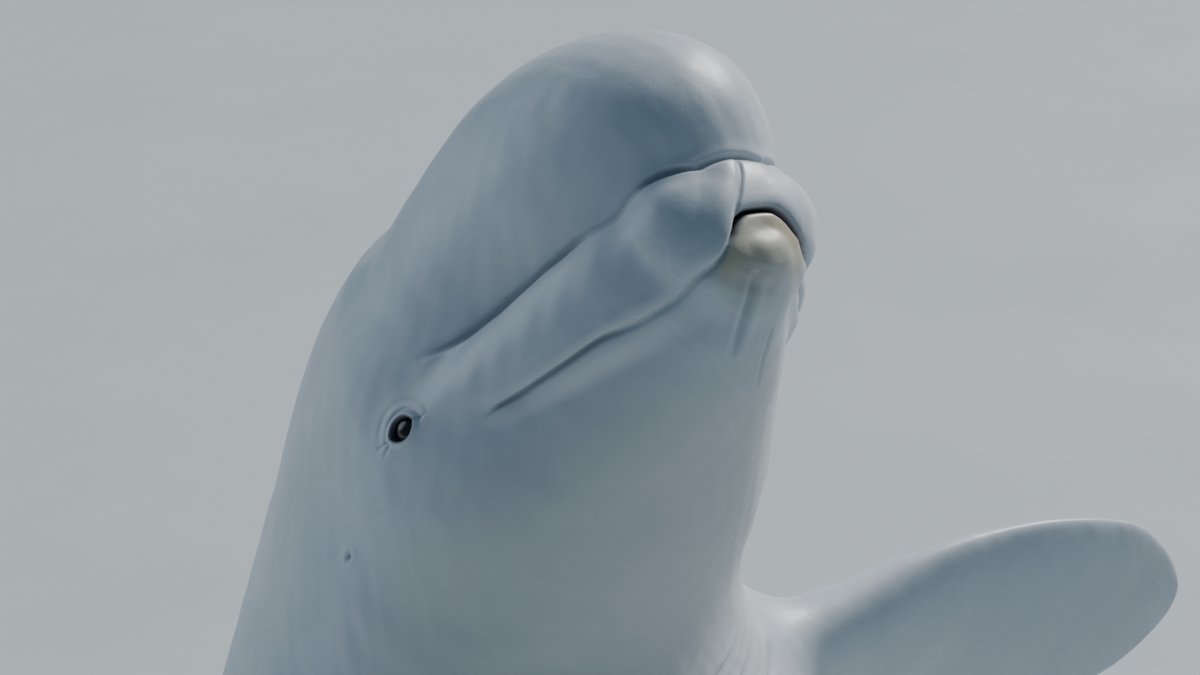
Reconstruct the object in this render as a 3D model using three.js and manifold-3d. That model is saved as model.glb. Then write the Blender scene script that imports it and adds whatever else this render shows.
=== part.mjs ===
// A spy-hopping beluga whale, life size, on a display stand. Millimetres, +Z up, belly toward -Y.
// The origin is the centre of the underside of the stand's base.
import * as THREE from 'three';
import { mergeVertices } from 'three/addons/utils/BufferGeometryUtils.js';
import Module from 'manifold-3d';

const wasm = await Module();
wasm.setup();

// The straightened whale: x forward with the snout tip at 0, y to its left, z to its back.
// Each station: distance behind the snout, half width, height above the axis, depth below it.
const BODY_STATIONS = [
  [20, 24, 16, 22],
  [32, 46, 36, 42],
  [60, 60, 50, 58],
  [100, 81, 80, 75],
  [150, 106, 130, 93],
  [210, 135, 184, 114],
  [270, 159, 231, 137],
  [340, 180, 260, 162],
  [420, 200, 264, 190],
  [520, 226, 258, 222],
  [650, 288, 264, 268],
  [800, 338, 292, 314],
  [1150, 370, 336, 352],
  [1550, 378, 348, 370],
  [2000, 352, 338, 345],
  [2450, 278, 286, 278],
  [2850, 192, 220, 200],
  [3200, 115, 165, 140],
  [3500, 70, 120, 100],
  [3750, 45, 70, 60],
  [3950, 20, 20, 20],
];
const BODY_START = 20;
const BODY_LENGTH = 3950;

// Rounded masses of the head: centre, half sizes and pitch.
const MELON = { centre: [-159, 0, 148], half: [197, 130, 128], pitch: -0.226 };
const NAPE = { centre: [-327, 0, 110], half: [169, 173, 152], pitch: 0 };
const CHEEK = { centre: [-334, 81, 21], half: [100, 93, 103], pitch: 0 };
const SNOUT_HOOD = { centre: [-25, 0, 39], half: [36, 49, 41], pitch: 0 };
const JAW_TIP = { centre: [-46, 0, -17], half: [46, 41, 29], pitch: 0 };
const NAPE_BLEND = 60;
const CHEEK_BLEND = 60;
const LIP_BLEND = [[50, 18], [110, 10]];
const HOOD_BLEND = 18;
const MELON_BLEND = [[0, 6], [100, 8], [200, 12], [270, 25], [330, 70]];

// Behind this station the body alone gives the form.
const HEAD_REAR = 680;

// The thick upper lip: a swelling along each side of the snout, by distance behind the tip.
const LIP_START = 45;
const LIP_END = 340;
const LIP_OUTWARD = [
  [40, 37], [45, 37], [80, 52.5], [120, 72.5], [160, 92], [200, 110], [250, 132], [340, 166],
];
const LIP_HEIGHT = [[40, 25], [80, 24], [120, 21], [160, 22], [200, 26], [250, 30], [340, 42]];
const LIP_RADIUS = [
  [40, 51], [45, 51], [80, 53.5], [120, 51], [160, 47], [200, 42], [250, 35], [300, 23], [340, 0],
];
const LIP_FLATNESS = 0.95;

// The line of the mouth, by distance behind the tip, and the seam in the crease under the melon.
const MOUTH_LINE = [
  [-60, 9], [-5, 9], [-2, 3], [4, -9], [12, -16], [24, -21],
  [60, -23], [92, -20], [115, -16], [142, -13], [182, -8], [220, -2],
];
const MOUTH_CORNER = 224;
const MOUTH_STEPS = 16;
const MOUTH_OPEN = 4;
const MOUTH_OPEN_END = 60;
const MELON_CREASE_START = [60, 54];
const MELON_CREASE_END = [-262, 77];
const MELON_REAR = 352;

const EYE = { station: 292, height: 34, radius: 17.5, depth: 15 };
const LID = { radius: 14, thickness: 4.5, long: 1.25, tall: 0.9 };
const BLOWHOLE = { station: 376, halfWidth: 36, bow: 20, breadth: 7, depth: 26 };

const FLIPPER = { station: 652, outward: 185, drop: 95, span: 660, edge: 0, sweep: 12, lift: -7 };
const FLIPPER_HALF_CHORD = [[0, 0], [0.03, 58], [0.2, 72], [0.45, 102], [0.66, 113], [0.85, 100], [1, 70]];
const FLIPPER_HALF_THICKNESS = [[0, 0], [0.03, 38], [0.25, 32], [0.5, 20], [0.8, 12], [1, 8]];
const FLIPPER_SWEEP = [[0, 0], [0.4, 0], [1, -55]];
const FLIPPER_CURL = [[0, 0], [0.6, 0], [1, 20]];
const FLIPPER_TIP = 0.8;

const FLUKE_REACH = 470;
const FLUKE_INSET = 90;
const FLUKE_LEADING = [[0, 3640], [0.16, 3655], [0.3, 3700], [0.6, 3810], [0.85, 3908], [1, 3966]];
const FLUKE_TRAILING = [[0, 3952], [0.16, 3952], [0.27, 3988], [0.5, 4018], [0.8, 4026], [1, 4012]];
const FLUKE_HALF_THICKNESS = [[0, 0], [0.02, 24], [0.2, 22], [0.5, 13], [0.9, 7], [1, 5]];
const FLUKE_TIP = 0.9;

const RIDGE = { from: 1930, to: 2510, halfWidth: 17, rise: 17, sunk: 30 };

// The pose: how steeply the back rises at each station, and the turn of the head on the neck.
const SPINE_PITCH = [[0, 88], [900, 88], [1400, 80], [2000, 66], [2800, 49], [3400, 41], [3950, 37]];
const HEAD_NOD = 30.4;
const HEAD_LEAN = 7.1;
const HEAD_TWIST = -10;
const NECK_BEND_START = 300;
const NECK_BEND_END = 640;
const SNOUT_PLACE = new THREE.Vector3(57, -570, 3484);
const SPINE_STEP = 5;

// Where the body is parted, by distance behind the snout.
const CUTS = { head: 460, neck: 560, chest: 1300, torso: 1880, abdomen: 2760, tailStock: 3640 };
const GAP = 0.4;

const HEAD_COLUMNS = 72;
const HEAD_FAN_ROWS = 29;
const HEAD_TUBE_ROWS = 5;
const FAN_CENTRE = [-300, 0, 10];
const COLUMN_CROWDING = 0.22;
const ROW_CROWDING = 1.2;
const BODY_COLUMNS = 40;

const BASE = { halfWidth: 560, halfLength: 900, corner: 300, height: 45, bevel: 8 };
const ROD_RADIUS = 38;
const FRONT_ROD_STATION = 2300;
const REAR_ROD_STATION = 3080;

const SKIN = { color: 0xc6d0d6, roughness: 0.42, metalness: 0 };
const PALE_SKIN = { color: 0xd2d8da, roughness: 0.42, metalness: 0 };
const JAW_SKIN = { color: 0xd3cfc0, roughness: 0.45, metalness: 0 };
const EYE_DARK = { color: 0x1b1613, roughness: 0.12, metalness: 0 };
const STEEL = { color: 0xa9adb0, roughness: 0.32, metalness: 1 };
const STAND_GREY = { color: 0x4a4e52, roughness: 0.6, metalness: 0 };

// A smooth curve through a few pairs that never overshoots them.
function smoothCurve(pairs) {
  const slopes = pairs.slice(1).map((pair, i) => (pair[1] - pairs[i][1]) / (pair[0] - pairs[i][0]));
  const tangents = pairs.map((_, i) => {
    const before = slopes[i - 1] ?? slopes[0];
    const after = slopes[i] ?? slopes[slopes.length - 1];
    return before * after > 0 ? (2 * before * after) / (before + after) : 0;
  });
  return (x) => {
    if (x <= pairs[0][0]) return pairs[0][1];
    const last = pairs.length - 1;
    if (x >= pairs[last][0]) return pairs[last][1];
    const i = pairs.findIndex((pair, k) => k > 0 && x < pair[0]) - 1;
    const width = pairs[i + 1][0] - pairs[i][0];
    const t = (x - pairs[i][0]) / width;
    const rise = 3 * t * t - 2 * t * t * t;
    const bend = t * (1 - t) * width;
    return pairs[i][1] * (1 - rise) + pairs[i + 1][1] * rise
      + bend * ((1 - t) * tangents[i] - t * tangents[i + 1]);
  };
}

const bodyWidth = smoothCurve(BODY_STATIONS.map((row) => [row[0], row[1]]));
const bodyHeight = smoothCurve(BODY_STATIONS.map((row) => [row[0], row[2]]));
const bodyDepth = smoothCurve(BODY_STATIONS.map((row) => [row[0], row[3]]));
const lipOutward = smoothCurve(LIP_OUTWARD);
const lipHeight = smoothCurve(LIP_HEIGHT);
const lipRadius = smoothCurve(LIP_RADIUS);
const melonBlend = smoothCurve(MELON_BLEND);
const lipBlend = smoothCurve(LIP_BLEND);
const mouthLine = smoothCurve(MOUTH_LINE);

// Distances below are negative inside the whale and positive outside it.
function blend(a, b, reach) {
  const h = THREE.MathUtils.clamp(0.5 + (0.5 * (b - a)) / reach, 0, 1);
  return b + (a - b) * h - reach * h * (1 - h);
}

function distanceToMass(x, y, z, mass) {
  const [cx, cy, cz] = mass.centre;
  const [rx, ry, rz] = mass.half;
  const c = Math.cos(mass.pitch);
  const s = Math.sin(mass.pitch);
  const along = (x - cx) * c + (z - cz) * s;
  const up = (z - cz) * c - (x - cx) * s;
  const scaled = Math.hypot(along / rx, (y - cy) / ry, up / rz);
  const steep = Math.hypot(along / rx ** 2, (y - cy) / ry ** 2, up / rz ** 2);
  return (scaled * (scaled - 1)) / Math.max(steep, 1e-9);
}

function distanceToTrunk(x, y, z) {
  const halfHeight = z > 0 ? bodyHeight(-x) : bodyDepth(-x);
  const scaled = Math.hypot(y / bodyWidth(-x), z / halfHeight);
  return Math.max(Math.hypot(y, z) * (1 - 1 / Math.max(scaled, 1e-6)), x + BODY_START);
}

function distanceToLip(x, y, z) {
  const ahead = Math.min(-x - LIP_START, 0);
  const up = (z - lipHeight(-x)) * LIP_FLATNESS;
  const round = Math.hypot(ahead, Math.abs(y) - lipOutward(-x), up) - lipRadius(-x);
  return Math.max(round, -x - LIP_END);
}

function distanceToSkin(x, y, z) {
  let d = distanceToTrunk(x, y, z);
  if (-x > HEAD_REAR) return d;
  d = blend(d, distanceToMass(x, Math.abs(y), z, CHEEK), CHEEK_BLEND);
  const dome = blend(distanceToMass(x, y, z, MELON), distanceToMass(x, y, z, NAPE), NAPE_BLEND);
  d = blend(d, dome, melonBlend(-x));
  d = blend(d, distanceToMass(x, y, z, JAW_TIP), lipBlend(-x));
  d = blend(d, distanceToLip(x, y, z), lipBlend(-x));
  return blend(d, distanceToMass(x, y, z, SNOUT_HOOD), HOOD_BLEND);
}

// How far a ray from inside the straightened whale travels before it leaves the skin.
function reachOfSkin(origin, direction) {
  const at = (t) => distanceToSkin(
    origin[0] + direction[0] * t,
    origin[1] + direction[1] * t,
    origin[2] + direction[2] * t,
  );
  const stride = 25;
  let outside = stride;
  while (at(outside) <= 0 && outside < 1000) outside += stride;
  let inside = outside - stride;
  for (let i = 0; i < 18; i += 1) {
    const middle = (inside + outside) / 2;
    if (at(middle) < 0) inside = middle;
    else outside = middle;
  }
  return inside;
}

// The spine in the pose: a place and a turn for each station, the snout first.
const radians = THREE.MathUtils.degToRad;
const headTurn = new THREE.Quaternion().setFromEuler(
  new THREE.Euler(radians(HEAD_NOD), radians(HEAD_LEAN), radians(HEAD_TWIST), 'XYZ'),
);

function buildSpine() {
  const pitch = smoothCurve(SPINE_PITCH);
  const trunkTurn = (station) => {
    const a = radians(pitch(station));
    const forward = new THREE.Vector3(0, -Math.cos(a), Math.sin(a));
    const up = new THREE.Vector3(0, Math.sin(a), Math.cos(a));
    const basis = new THREE.Matrix4().makeBasis(forward, new THREE.Vector3(1, 0, 0), up);
    return new THREE.Quaternion().setFromRotationMatrix(basis);
  };
  const vertebrae = [];
  const place = SNOUT_PLACE.clone();
  for (let station = 0; station <= BODY_LENGTH + 100; station += SPINE_STEP) {
    const share = THREE.MathUtils.smoothstep(NECK_BEND_END - station, 0, NECK_BEND_END - NECK_BEND_START);
    const turn = new THREE.Quaternion().slerp(headTurn, share)
      .multiply(trunkTurn(Math.max(station, NECK_BEND_END)));
    if (station > 0) {
      const forward = new THREE.Vector3(1, 0, 0).applyQuaternion(turn);
      const before = new THREE.Vector3(1, 0, 0).applyQuaternion(vertebrae[vertebrae.length - 1].turn);
      place.addScaledVector(forward.add(before), -SPINE_STEP / 2);
    }
    vertebrae.push({ place: place.clone(), turn });
  }
  return vertebrae;
}

const spine = buildSpine();

function spineAt(station) {
  const steps = THREE.MathUtils.clamp(station / SPINE_STEP, 0, spine.length - 1.001);
  const i = Math.floor(steps);
  const place = spine[i].place.clone().lerp(spine[i + 1].place, steps - i);
  const turn = spine[i].turn.clone().slerp(spine[i + 1].turn, steps - i);
  return { place, turn };
}

function posed(x, y, z) {
  const { place, turn } = spineAt(-x);
  const ahead = x > 0 ? x : 0;
  return new THREE.Vector3(ahead, y, z).applyQuaternion(turn).add(place);
}

// The rigid frame of one station, as a matrix for pieces that keep their own shape.
function frameAt(station) {
  const { place, turn } = spineAt(station);
  return new THREE.Matrix4().compose(place, turn, new THREE.Vector3(1, 1, 1));
}

// Moves each vertex of a geometry whose own x, y and z are up, forward and left, or nearly so.
function reshape(geometry, move) {
  geometry.deleteAttribute('normal');
  geometry.deleteAttribute('uv');
  const position = geometry.attributes.position;
  for (let i = 0; i < position.count; i += 1) {
    const moved = move(position.getX(i), position.getY(i), position.getZ(i));
    position.setXYZ(i, moved.x, moved.y, moved.z);
  }
  return geometry;
}

function solidOf(geometry) {
  geometry.deleteAttribute('normal');
  geometry.deleteAttribute('uv');
  const merged = mergeVertices(geometry, 1e-3);
  return new wasm.Manifold(new wasm.Mesh({
    numProp: 3,
    vertProperties: Float32Array.from(merged.attributes.position.array),
    triVerts: Uint32Array.from(merged.index.array),
  }));
}

function largestBody(solid) {
  return solid.decompose().sort((a, b) => b.volume() - a.volume())[0];
}

function meshOf(name, solid, finish) {
  const { vertProperties, triVerts } = largestBody(solid).getMesh();
  const geometry = new THREE.BufferGeometry();
  geometry.setAttribute('position', new THREE.BufferAttribute(new Float32Array(vertProperties), 3));
  geometry.setIndex(new THREE.BufferAttribute(new Uint32Array(triVerts), 1));
  geometry.computeVertexNormals();
  const mesh = new THREE.Mesh(geometry, new THREE.MeshStandardMaterial(finish));
  mesh.name = name;
  return mesh;
}

// The head from the snout to the neck cut: rays fan out from one centre, then stand square to the axis.
function headSolid() {
  const rows = HEAD_FAN_ROWS + HEAD_TUBE_ROWS + 1;
  const end = CUTS.head - GAP / 2;
  return solidOf(reshape(new THREE.SphereGeometry(1, HEAD_COLUMNS, rows), (gx, gy, gz) => {
    const row = Math.round((Math.acos(THREE.MathUtils.clamp(gy, -1, 1)) / Math.PI) * rows);
    if (row === rows) return posed(-end, 0, 0);
    const round = Math.atan2(gz, gx);
    const around = round + COLUMN_CROWDING * Math.sin(2 * round);
    const side = Math.sin(around);
    const top = Math.cos(around);
    let origin = FAN_CENTRE;
    let direction = [0, side, top];
    if (row <= HEAD_FAN_ROWS) {
      const opening = (Math.PI / 2) * (row / HEAD_FAN_ROWS) ** ROW_CROWDING;
      const spread = Math.sin(opening);
      direction = [Math.cos(opening), spread * side, spread * top];
    } else {
      const share = (row - HEAD_FAN_ROWS) / HEAD_TUBE_ROWS;
      origin = [FAN_CENTRE[0] + (-end - FAN_CENTRE[0]) * share, 0, FAN_CENTRE[2] * (1 - share)];
    }
    const reach = reachOfSkin(origin, direction);
    return posed(
      origin[0] + direction[0] * reach,
      origin[1] + direction[1] * reach,
      origin[2] + direction[2] * reach,
    );
  }));
}

// A stretch of the body between two stations, closed by a flat cut at each end.
function stretchSolid(from, to, rings, grow = 0) {
  const geometry = new THREE.CylinderGeometry(1, 1, 1, BODY_COLUMNS, rings);
  return solidOf(reshape(geometry, (gx, gy, gz) => {
    const station = THREE.MathUtils.lerp(from, to, 0.5 - gy);
    const flat = Math.hypot(gx, gz);
    if (flat < 0.5) return posed(-station, 0, 0);
    const direction = [0, gz / flat, gx / flat];
    const reach = reachOfSkin([-station, 0, 0], direction) + grow;
    return posed(-station, direction[1] * reach, direction[2] * reach);
  }));
}

// A side view outline, x forward and z up, drawn out across the whole head.
function headCutter(points) {
  const shape = new THREE.Shape(points.map(([x, z]) => new THREE.Vector2(x, z)));
  const breadth = 600;
  const geometry = new THREE.ExtrudeGeometry(shape, { depth: breadth, bevelEnabled: false });
  geometry.translate(0, 0, -breadth / 2);
  const standing = new THREE.Matrix4().makeBasis(
    new THREE.Vector3(1, 0, 0),
    new THREE.Vector3(0, 0, 1),
    new THREE.Vector3(0, -1, 0),
  );
  geometry.applyMatrix4(standing).applyMatrix4(frameAt(0));
  return solidOf(geometry);
}

// The part of the head under the mouth; with a gap it is the room that the jaw needs.
function jawOutline(gap) {
  const opening = (station) => (gap > 0
    ? gap + MOUTH_OPEN * THREE.MathUtils.smoothstep(MOUTH_OPEN_END - station, 0, MOUTH_OPEN_END)
    : 0);
  const front = 60;
  const line = [];
  for (let i = 0; i <= MOUTH_STEPS; i += 1) {
    const station = THREE.MathUtils.lerp(-front, MOUTH_CORNER, i / MOUTH_STEPS);
    line.push([-station, mouthLine(station) + opening(station)]);
  }
  line[MOUTH_STEPS][0] -= gap;
  return [...line, [-MOUTH_CORNER - 70 - gap, -260], [front, -260]];
}

function melonOutline(gap) {
  return [
    [MELON_CREASE_START[0], MELON_CREASE_START[1] - gap],
    [MELON_CREASE_START[0], 330],
    [-MELON_REAR - gap, 330],
    [MELON_CREASE_END[0] - gap, MELON_CREASE_END[1] - gap],
  ];
}

function outwardAt(x, y, z) {
  const step = 1;
  return new THREE.Vector3(
    distanceToSkin(x + step, y, z) - distanceToSkin(x - step, y, z),
    distanceToSkin(x, y + step, z) - distanceToSkin(x, y - step, z),
    distanceToSkin(x, y, z + step) - distanceToSkin(x, y, z - step),
  ).normalize();
}

// The frame of an eye: x along the head, y out of the head, z up; its origin is on the skin.
function eyeFrame(side) {
  const y = side * reachOfSkin([-EYE.station, 0, EYE.height], [0, side, 0]);
  const out = outwardAt(-EYE.station, y, EYE.height);
  const along = new THREE.Vector3(1, 0, 0).addScaledVector(out, -out.x).normalize();
  const up = new THREE.Vector3().crossVectors(along, out);
  const { turn } = spineAt(EYE.station);
  const basis = new THREE.Matrix4().makeBasis(along, out, up);
  const orientation = turn.clone().multiply(new THREE.Quaternion().setFromRotationMatrix(basis));
  return new THREE.Matrix4().compose(
    posed(-EYE.station, y, EYE.height),
    orientation,
    new THREE.Vector3(1, 1, 1),
  );
}

function eyeSolid(side, grow) {
  const geometry = new THREE.SphereGeometry(EYE.radius + grow, 18, 10);
  geometry.translate(0, -EYE.depth, 0).applyMatrix4(eyeFrame(side));
  return solidOf(geometry);
}

function lidSolid(side) {
  const geometry = new THREE.TorusGeometry(LID.radius, LID.thickness, 6, 20);
  geometry.rotateX(Math.PI / 2).scale(LID.long, 1, LID.tall).applyMatrix4(eyeFrame(side));
  return solidOf(geometry);
}

// The crescent slit of the blowhole, its horns forward.
function blowholeSolid() {
  const { halfWidth, bow, breadth, depth, station } = BLOWHOLE;
  const shape = new THREE.Shape();
  shape.moveTo(0, halfWidth);
  shape.quadraticCurveTo(-bow - breadth, 0, 0, -halfWidth);
  shape.quadraticCurveTo(-bow + breadth, 0, 0, halfWidth);
  const geometry = new THREE.ExtrudeGeometry(shape, { depth: 3 * depth, bevelEnabled: false, curveSegments: 7 });
  const top = reachOfSkin([-station, 0, 0], [0, 0, 1]);
  geometry.translate(0, 0, top - depth).applyMatrix4(frameAt(station));
  return solidOf(geometry);
}

// A flat limb: along its span the chord and thickness swell, and they round off from tipStart on.
// The forward half of each section is the fuller one. The limb is set in place by the given function.
function limbSolid({ span, tipStart, halfChord, halfThickness, middle, lift, segments, place }) {
  const chord = smoothCurve(halfChord);
  const thickness = smoothCurve(halfThickness);
  return solidOf(reshape(new THREE.SphereGeometry(1, segments[0], segments[1]), (gx, gy, gz) => {
    const share = (gy + 1) / 2;
    const flat = Math.max(Math.hypot(gx, gz), 1e-9);
    const past = Math.max(share - tipStart, 0) / (1 - tipStart);
    const taper = Math.sqrt(Math.max(1 - past * past, 0));
    const fullness = 1 + (0.35 * gx) / flat;
    const across = middle(share) + (taper * chord(share) * gx) / flat;
    const through = lift(share) + (taper * thickness(share) * fullness * gz) / flat;
    return place(across, span * share, through);
  }));
}

// A flipper, held out to the side and nearly level, with its leading edge up.
function flipperSolid(side) {
  const edge = radians(FLIPPER.edge);
  const sweep = radians(FLIPPER.sweep);
  const lift = radians(FLIPPER.lift);
  const level = Math.cos(lift);
  const outward = new THREE.Vector3(
    Math.sin(lift),
    side * level * Math.cos(sweep),
    -level * Math.sin(sweep),
  );
  const leading = new THREE.Vector3(Math.cos(edge), 0, -Math.sin(edge));
  leading.addScaledVector(outward, -leading.dot(outward)).normalize();
  const through = new THREE.Vector3().crossVectors(leading, outward);
  const root = new THREE.Vector3(0, side * FLIPPER.outward, -FLIPPER.drop);
  const matrix = new THREE.Matrix4().makeBasis(leading, outward, through).setPosition(root);
  matrix.premultiply(frameAt(FLIPPER.station));
  const curl = smoothCurve(FLIPPER_CURL);
  return limbSolid({
    span: FLIPPER.span,
    tipStart: FLIPPER_TIP,
    halfChord: FLIPPER_HALF_CHORD,
    halfThickness: FLIPPER_HALF_THICKNESS,
    middle: smoothCurve(FLIPPER_SWEEP),
    lift: (share) => side * curl(share),
    segments: [24, 16],
    place: (across, out, through) => new THREE.Vector3(across, out, through).applyMatrix4(matrix),
  });
}

// Half of the tail fin with its half of the stock's end, cut down the middle.
function flukeSolid(side) {
  const leading = smoothCurve(FLUKE_LEADING);
  const trailing = smoothCurve(FLUKE_TRAILING);
  const station = CUTS.tailStock;
  const shares = [0, 0.02, 0.08, 0.16, 0.3, 0.45, 0.6, 0.75, 0.88, 0.96, 1];
  const blade = limbSolid({
    span: FLUKE_REACH + FLUKE_INSET,
    tipStart: FLUKE_TIP,
    halfChord: shares.map((t) => [t, t === 0 ? 0 : (trailing(t) - leading(t)) / 2]),
    halfThickness: FLUKE_HALF_THICKNESS,
    middle: (t) => -(leading(t) + trailing(t)) / 2,
    lift: () => 0,
    segments: [22, 16],
    place: (across, out, through) => posed(across, side * (out - FLUKE_INSET), side * through),
  });
  const half = new THREE.BoxGeometry(1000, 1000, 1000);
  half.translate(0, side * (500 + GAP / 2), 0).applyMatrix4(frameAt(station));
  const ahead = new THREE.BoxGeometry(1000, 2000, 1000);
  ahead.translate(500 - GAP / 2, 0, 0).applyMatrix4(frameAt(station));
  const stockEnd = stretchSolid(station + GAP / 2, BODY_LENGTH - 8, 8);
  return blade.add(stockEnd).subtract(solidOf(ahead)).intersect(solidOf(half));
}

// The low ridge that a beluga has in place of a fin.
function ridgeSolid() {
  const middle = (RIDGE.from + RIDGE.to) / 2;
  const halfLength = (RIDGE.to - RIDGE.from) / 2;
  return solidOf(reshape(new THREE.SphereGeometry(1, 10, 14), (gx, gy, gz) => {
    const station = middle - halfLength * gy;
    const height = bodyHeight(station) + (gx > 0 ? RIDGE.rise : RIDGE.sunk) * gx;
    return posed(-station, RIDGE.halfWidth * gz, height);
  }));
}

function baseSolid() {
  const { halfWidth, halfLength, corner, height, bevel } = BASE;
  const w = halfWidth - bevel;
  const l = halfLength - bevel;
  const shape = new THREE.Shape();
  shape.moveTo(-w + corner, -l);
  shape.lineTo(w - corner, -l);
  shape.absarc(w - corner, -l + corner, corner, -Math.PI / 2, 0);
  shape.absarc(w - corner, l - corner, corner, 0, Math.PI / 2);
  shape.absarc(-w + corner, l - corner, corner, Math.PI / 2, Math.PI);
  shape.absarc(-w + corner, -l + corner, corner, Math.PI, Math.PI * 1.5);
  const geometry = new THREE.ExtrudeGeometry(shape, {
    depth: height - 2 * bevel,
    bevelThickness: bevel,
    bevelSize: bevel,
    bevelSegments: 2,
    curveSegments: 6,
  });
  return solidOf(geometry.translate(0, 0, bevel));
}

// A turned rod from the base up into the body, with a foot plate and a flared head.
function rodSolid(station) {
  const { place, turn } = spineAt(station);
  const contact = new THREE.Vector3(0, 0, -bodyDepth(station)).applyQuaternion(turn).add(place);
  const foot = BASE.height + 0.3;
  const top = contact.z + 110;
  const profile = [
    [0, foot],
    [100, foot],
    [100, foot + 10],
    [92, foot + 16],
    [ROD_RADIUS + 8, foot + 22],
    [ROD_RADIUS, foot + 34],
    [ROD_RADIUS, contact.z - 130],
    [ROD_RADIUS + 8, contact.z - 95],
    [ROD_RADIUS + 26, contact.z - 70],
    [ROD_RADIUS + 26, top],
    [0, top],
  ].map(([r, z]) => new THREE.Vector2(r, z));
  const geometry = new THREE.LatheGeometry(profile, 20);
  geometry.rotateX(Math.PI / 2).translate(contact.x, contact.y, 0);
  return solidOf(geometry);
}

const whale = new THREE.Group();
whale.name = 'beluga_whale';

const wholeHead = headSolid();
const jaw = wholeHead.intersect(headCutter(jawOutline(0)));
const melon = wholeHead.intersect(headCutter(melonOutline(0)));
let skull = wholeHead
  .subtract(headCutter(jawOutline(GAP)))
  .subtract(headCutter(melonOutline(GAP)));
skull = largestBody(skull);
for (const side of [1, -1]) {
  skull = skull.add(lidSolid(side)).subtract(eyeSolid(side, 0.3));
}
skull = skull.subtract(blowholeSolid());

whale.add(meshOf('head', skull, SKIN));
whale.add(meshOf('melon', melon, SKIN));
whale.add(meshOf('lower_jaw', jaw, JAW_SKIN));
whale.add(meshOf('eye_left', eyeSolid(1, 0), EYE_DARK));
whale.add(meshOf('eye_right', eyeSolid(-1, 0), EYE_DARK));

// The lengths of the body behind the head, each with its number of rings.
const STRETCHES = {
  neck: [CUTS.head, CUTS.neck, 3],
  chest: [CUTS.neck, CUTS.chest, 11],
  torso: [CUTS.chest, CUTS.torso, 6],
  abdomen: [CUTS.torso, CUTS.abdomen, 9],
  tail_stock: [CUTS.abdomen, CUTS.tailStock, 9],
};

function bodyPart(name, grow = 0) {
  const [from, to, rings] = STRETCHES[name];
  return stretchSolid(from + GAP / 2, to - GAP / 2, rings, grow);
}

for (const name of Object.keys(STRETCHES)) {
  whale.add(meshOf(name, bodyPart(name), SKIN));
}
for (const [suffix, side] of [['left', 1], ['right', -1]]) {
  const flipper = flipperSolid(side).subtract(bodyPart('chest', GAP));
  whale.add(meshOf(`flipper_${suffix}`, flipper, PALE_SKIN));
  whale.add(meshOf(`fluke_${suffix}`, flukeSolid(side), PALE_SKIN));
}
whale.add(meshOf('dorsal_ridge', ridgeSolid().subtract(bodyPart('abdomen', GAP)), PALE_SKIN));

whale.add(meshOf('stand_base', baseSolid(), STAND_GREY));
whale.add(meshOf('stand_rod_front', rodSolid(FRONT_ROD_STATION).subtract(bodyPart('abdomen', GAP)), STEEL));
whale.add(meshOf('stand_rod_rear', rodSolid(REAR_ROD_STATION).subtract(bodyPart('tail_stock', GAP)), STEEL));

export default whale;
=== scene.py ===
"""A life-size beluga whale, rising upright to look out, on a plain display stand.

Everything is in metres. The whale is made straight, with x forward from the tip of the snout, y to its
left and z to its back, and a station is a distance behind the snout. Points are rows of x, y and z, and
a distance to a form is negative inside it. The skin is bent along the spine into the pose at the end.
"""

from __future__ import annotations

import logging
import math
from dataclasses import dataclass
from enum import Enum
from typing import Callable, ClassVar, Sequence

import bmesh
import bpy
import numpy as np
from mathutils import Matrix, Quaternion, Vector

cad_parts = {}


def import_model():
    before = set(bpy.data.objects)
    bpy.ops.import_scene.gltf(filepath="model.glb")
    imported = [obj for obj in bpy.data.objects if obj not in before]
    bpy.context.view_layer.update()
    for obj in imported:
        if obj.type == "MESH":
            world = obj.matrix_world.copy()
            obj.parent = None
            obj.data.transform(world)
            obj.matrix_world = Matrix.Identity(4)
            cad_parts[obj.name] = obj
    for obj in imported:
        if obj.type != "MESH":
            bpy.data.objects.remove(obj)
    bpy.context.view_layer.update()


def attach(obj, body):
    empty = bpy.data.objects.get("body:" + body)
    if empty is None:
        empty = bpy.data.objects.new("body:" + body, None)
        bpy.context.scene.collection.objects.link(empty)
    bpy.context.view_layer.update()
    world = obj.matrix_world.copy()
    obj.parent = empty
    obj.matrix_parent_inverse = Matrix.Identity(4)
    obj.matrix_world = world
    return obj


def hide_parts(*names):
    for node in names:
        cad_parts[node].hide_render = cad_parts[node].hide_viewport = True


log = logging.getLogger("beluga")

Array = np.ndarray
Point = tuple[float, float, float]
Span = tuple[float, float]
Reach = tuple[float, float, float, float]
Colour = tuple[float, float, float, float]
Object = bpy.types.Object
Mesh = bpy.types.Mesh
Node = bpy.types.Node
Socket = bpy.types.NodeSocket
Material = bpy.types.Material

ROOT_BODY = "root"
MILLIMETRE = 0.001
TINY = 1e-12


class Side(Enum):
    """The two sides of the whale, as signs along its left."""

    LEFT = 1
    RIGHT = -1


class Slot(Enum):
    """Names of the material slots for the kinds of pieces."""

    SKIN = "skin"
    EYE = "eye"
    STEEL = "stand_steel"
    PAINT = "stand_paint"


# Curves and smooth distances


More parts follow.
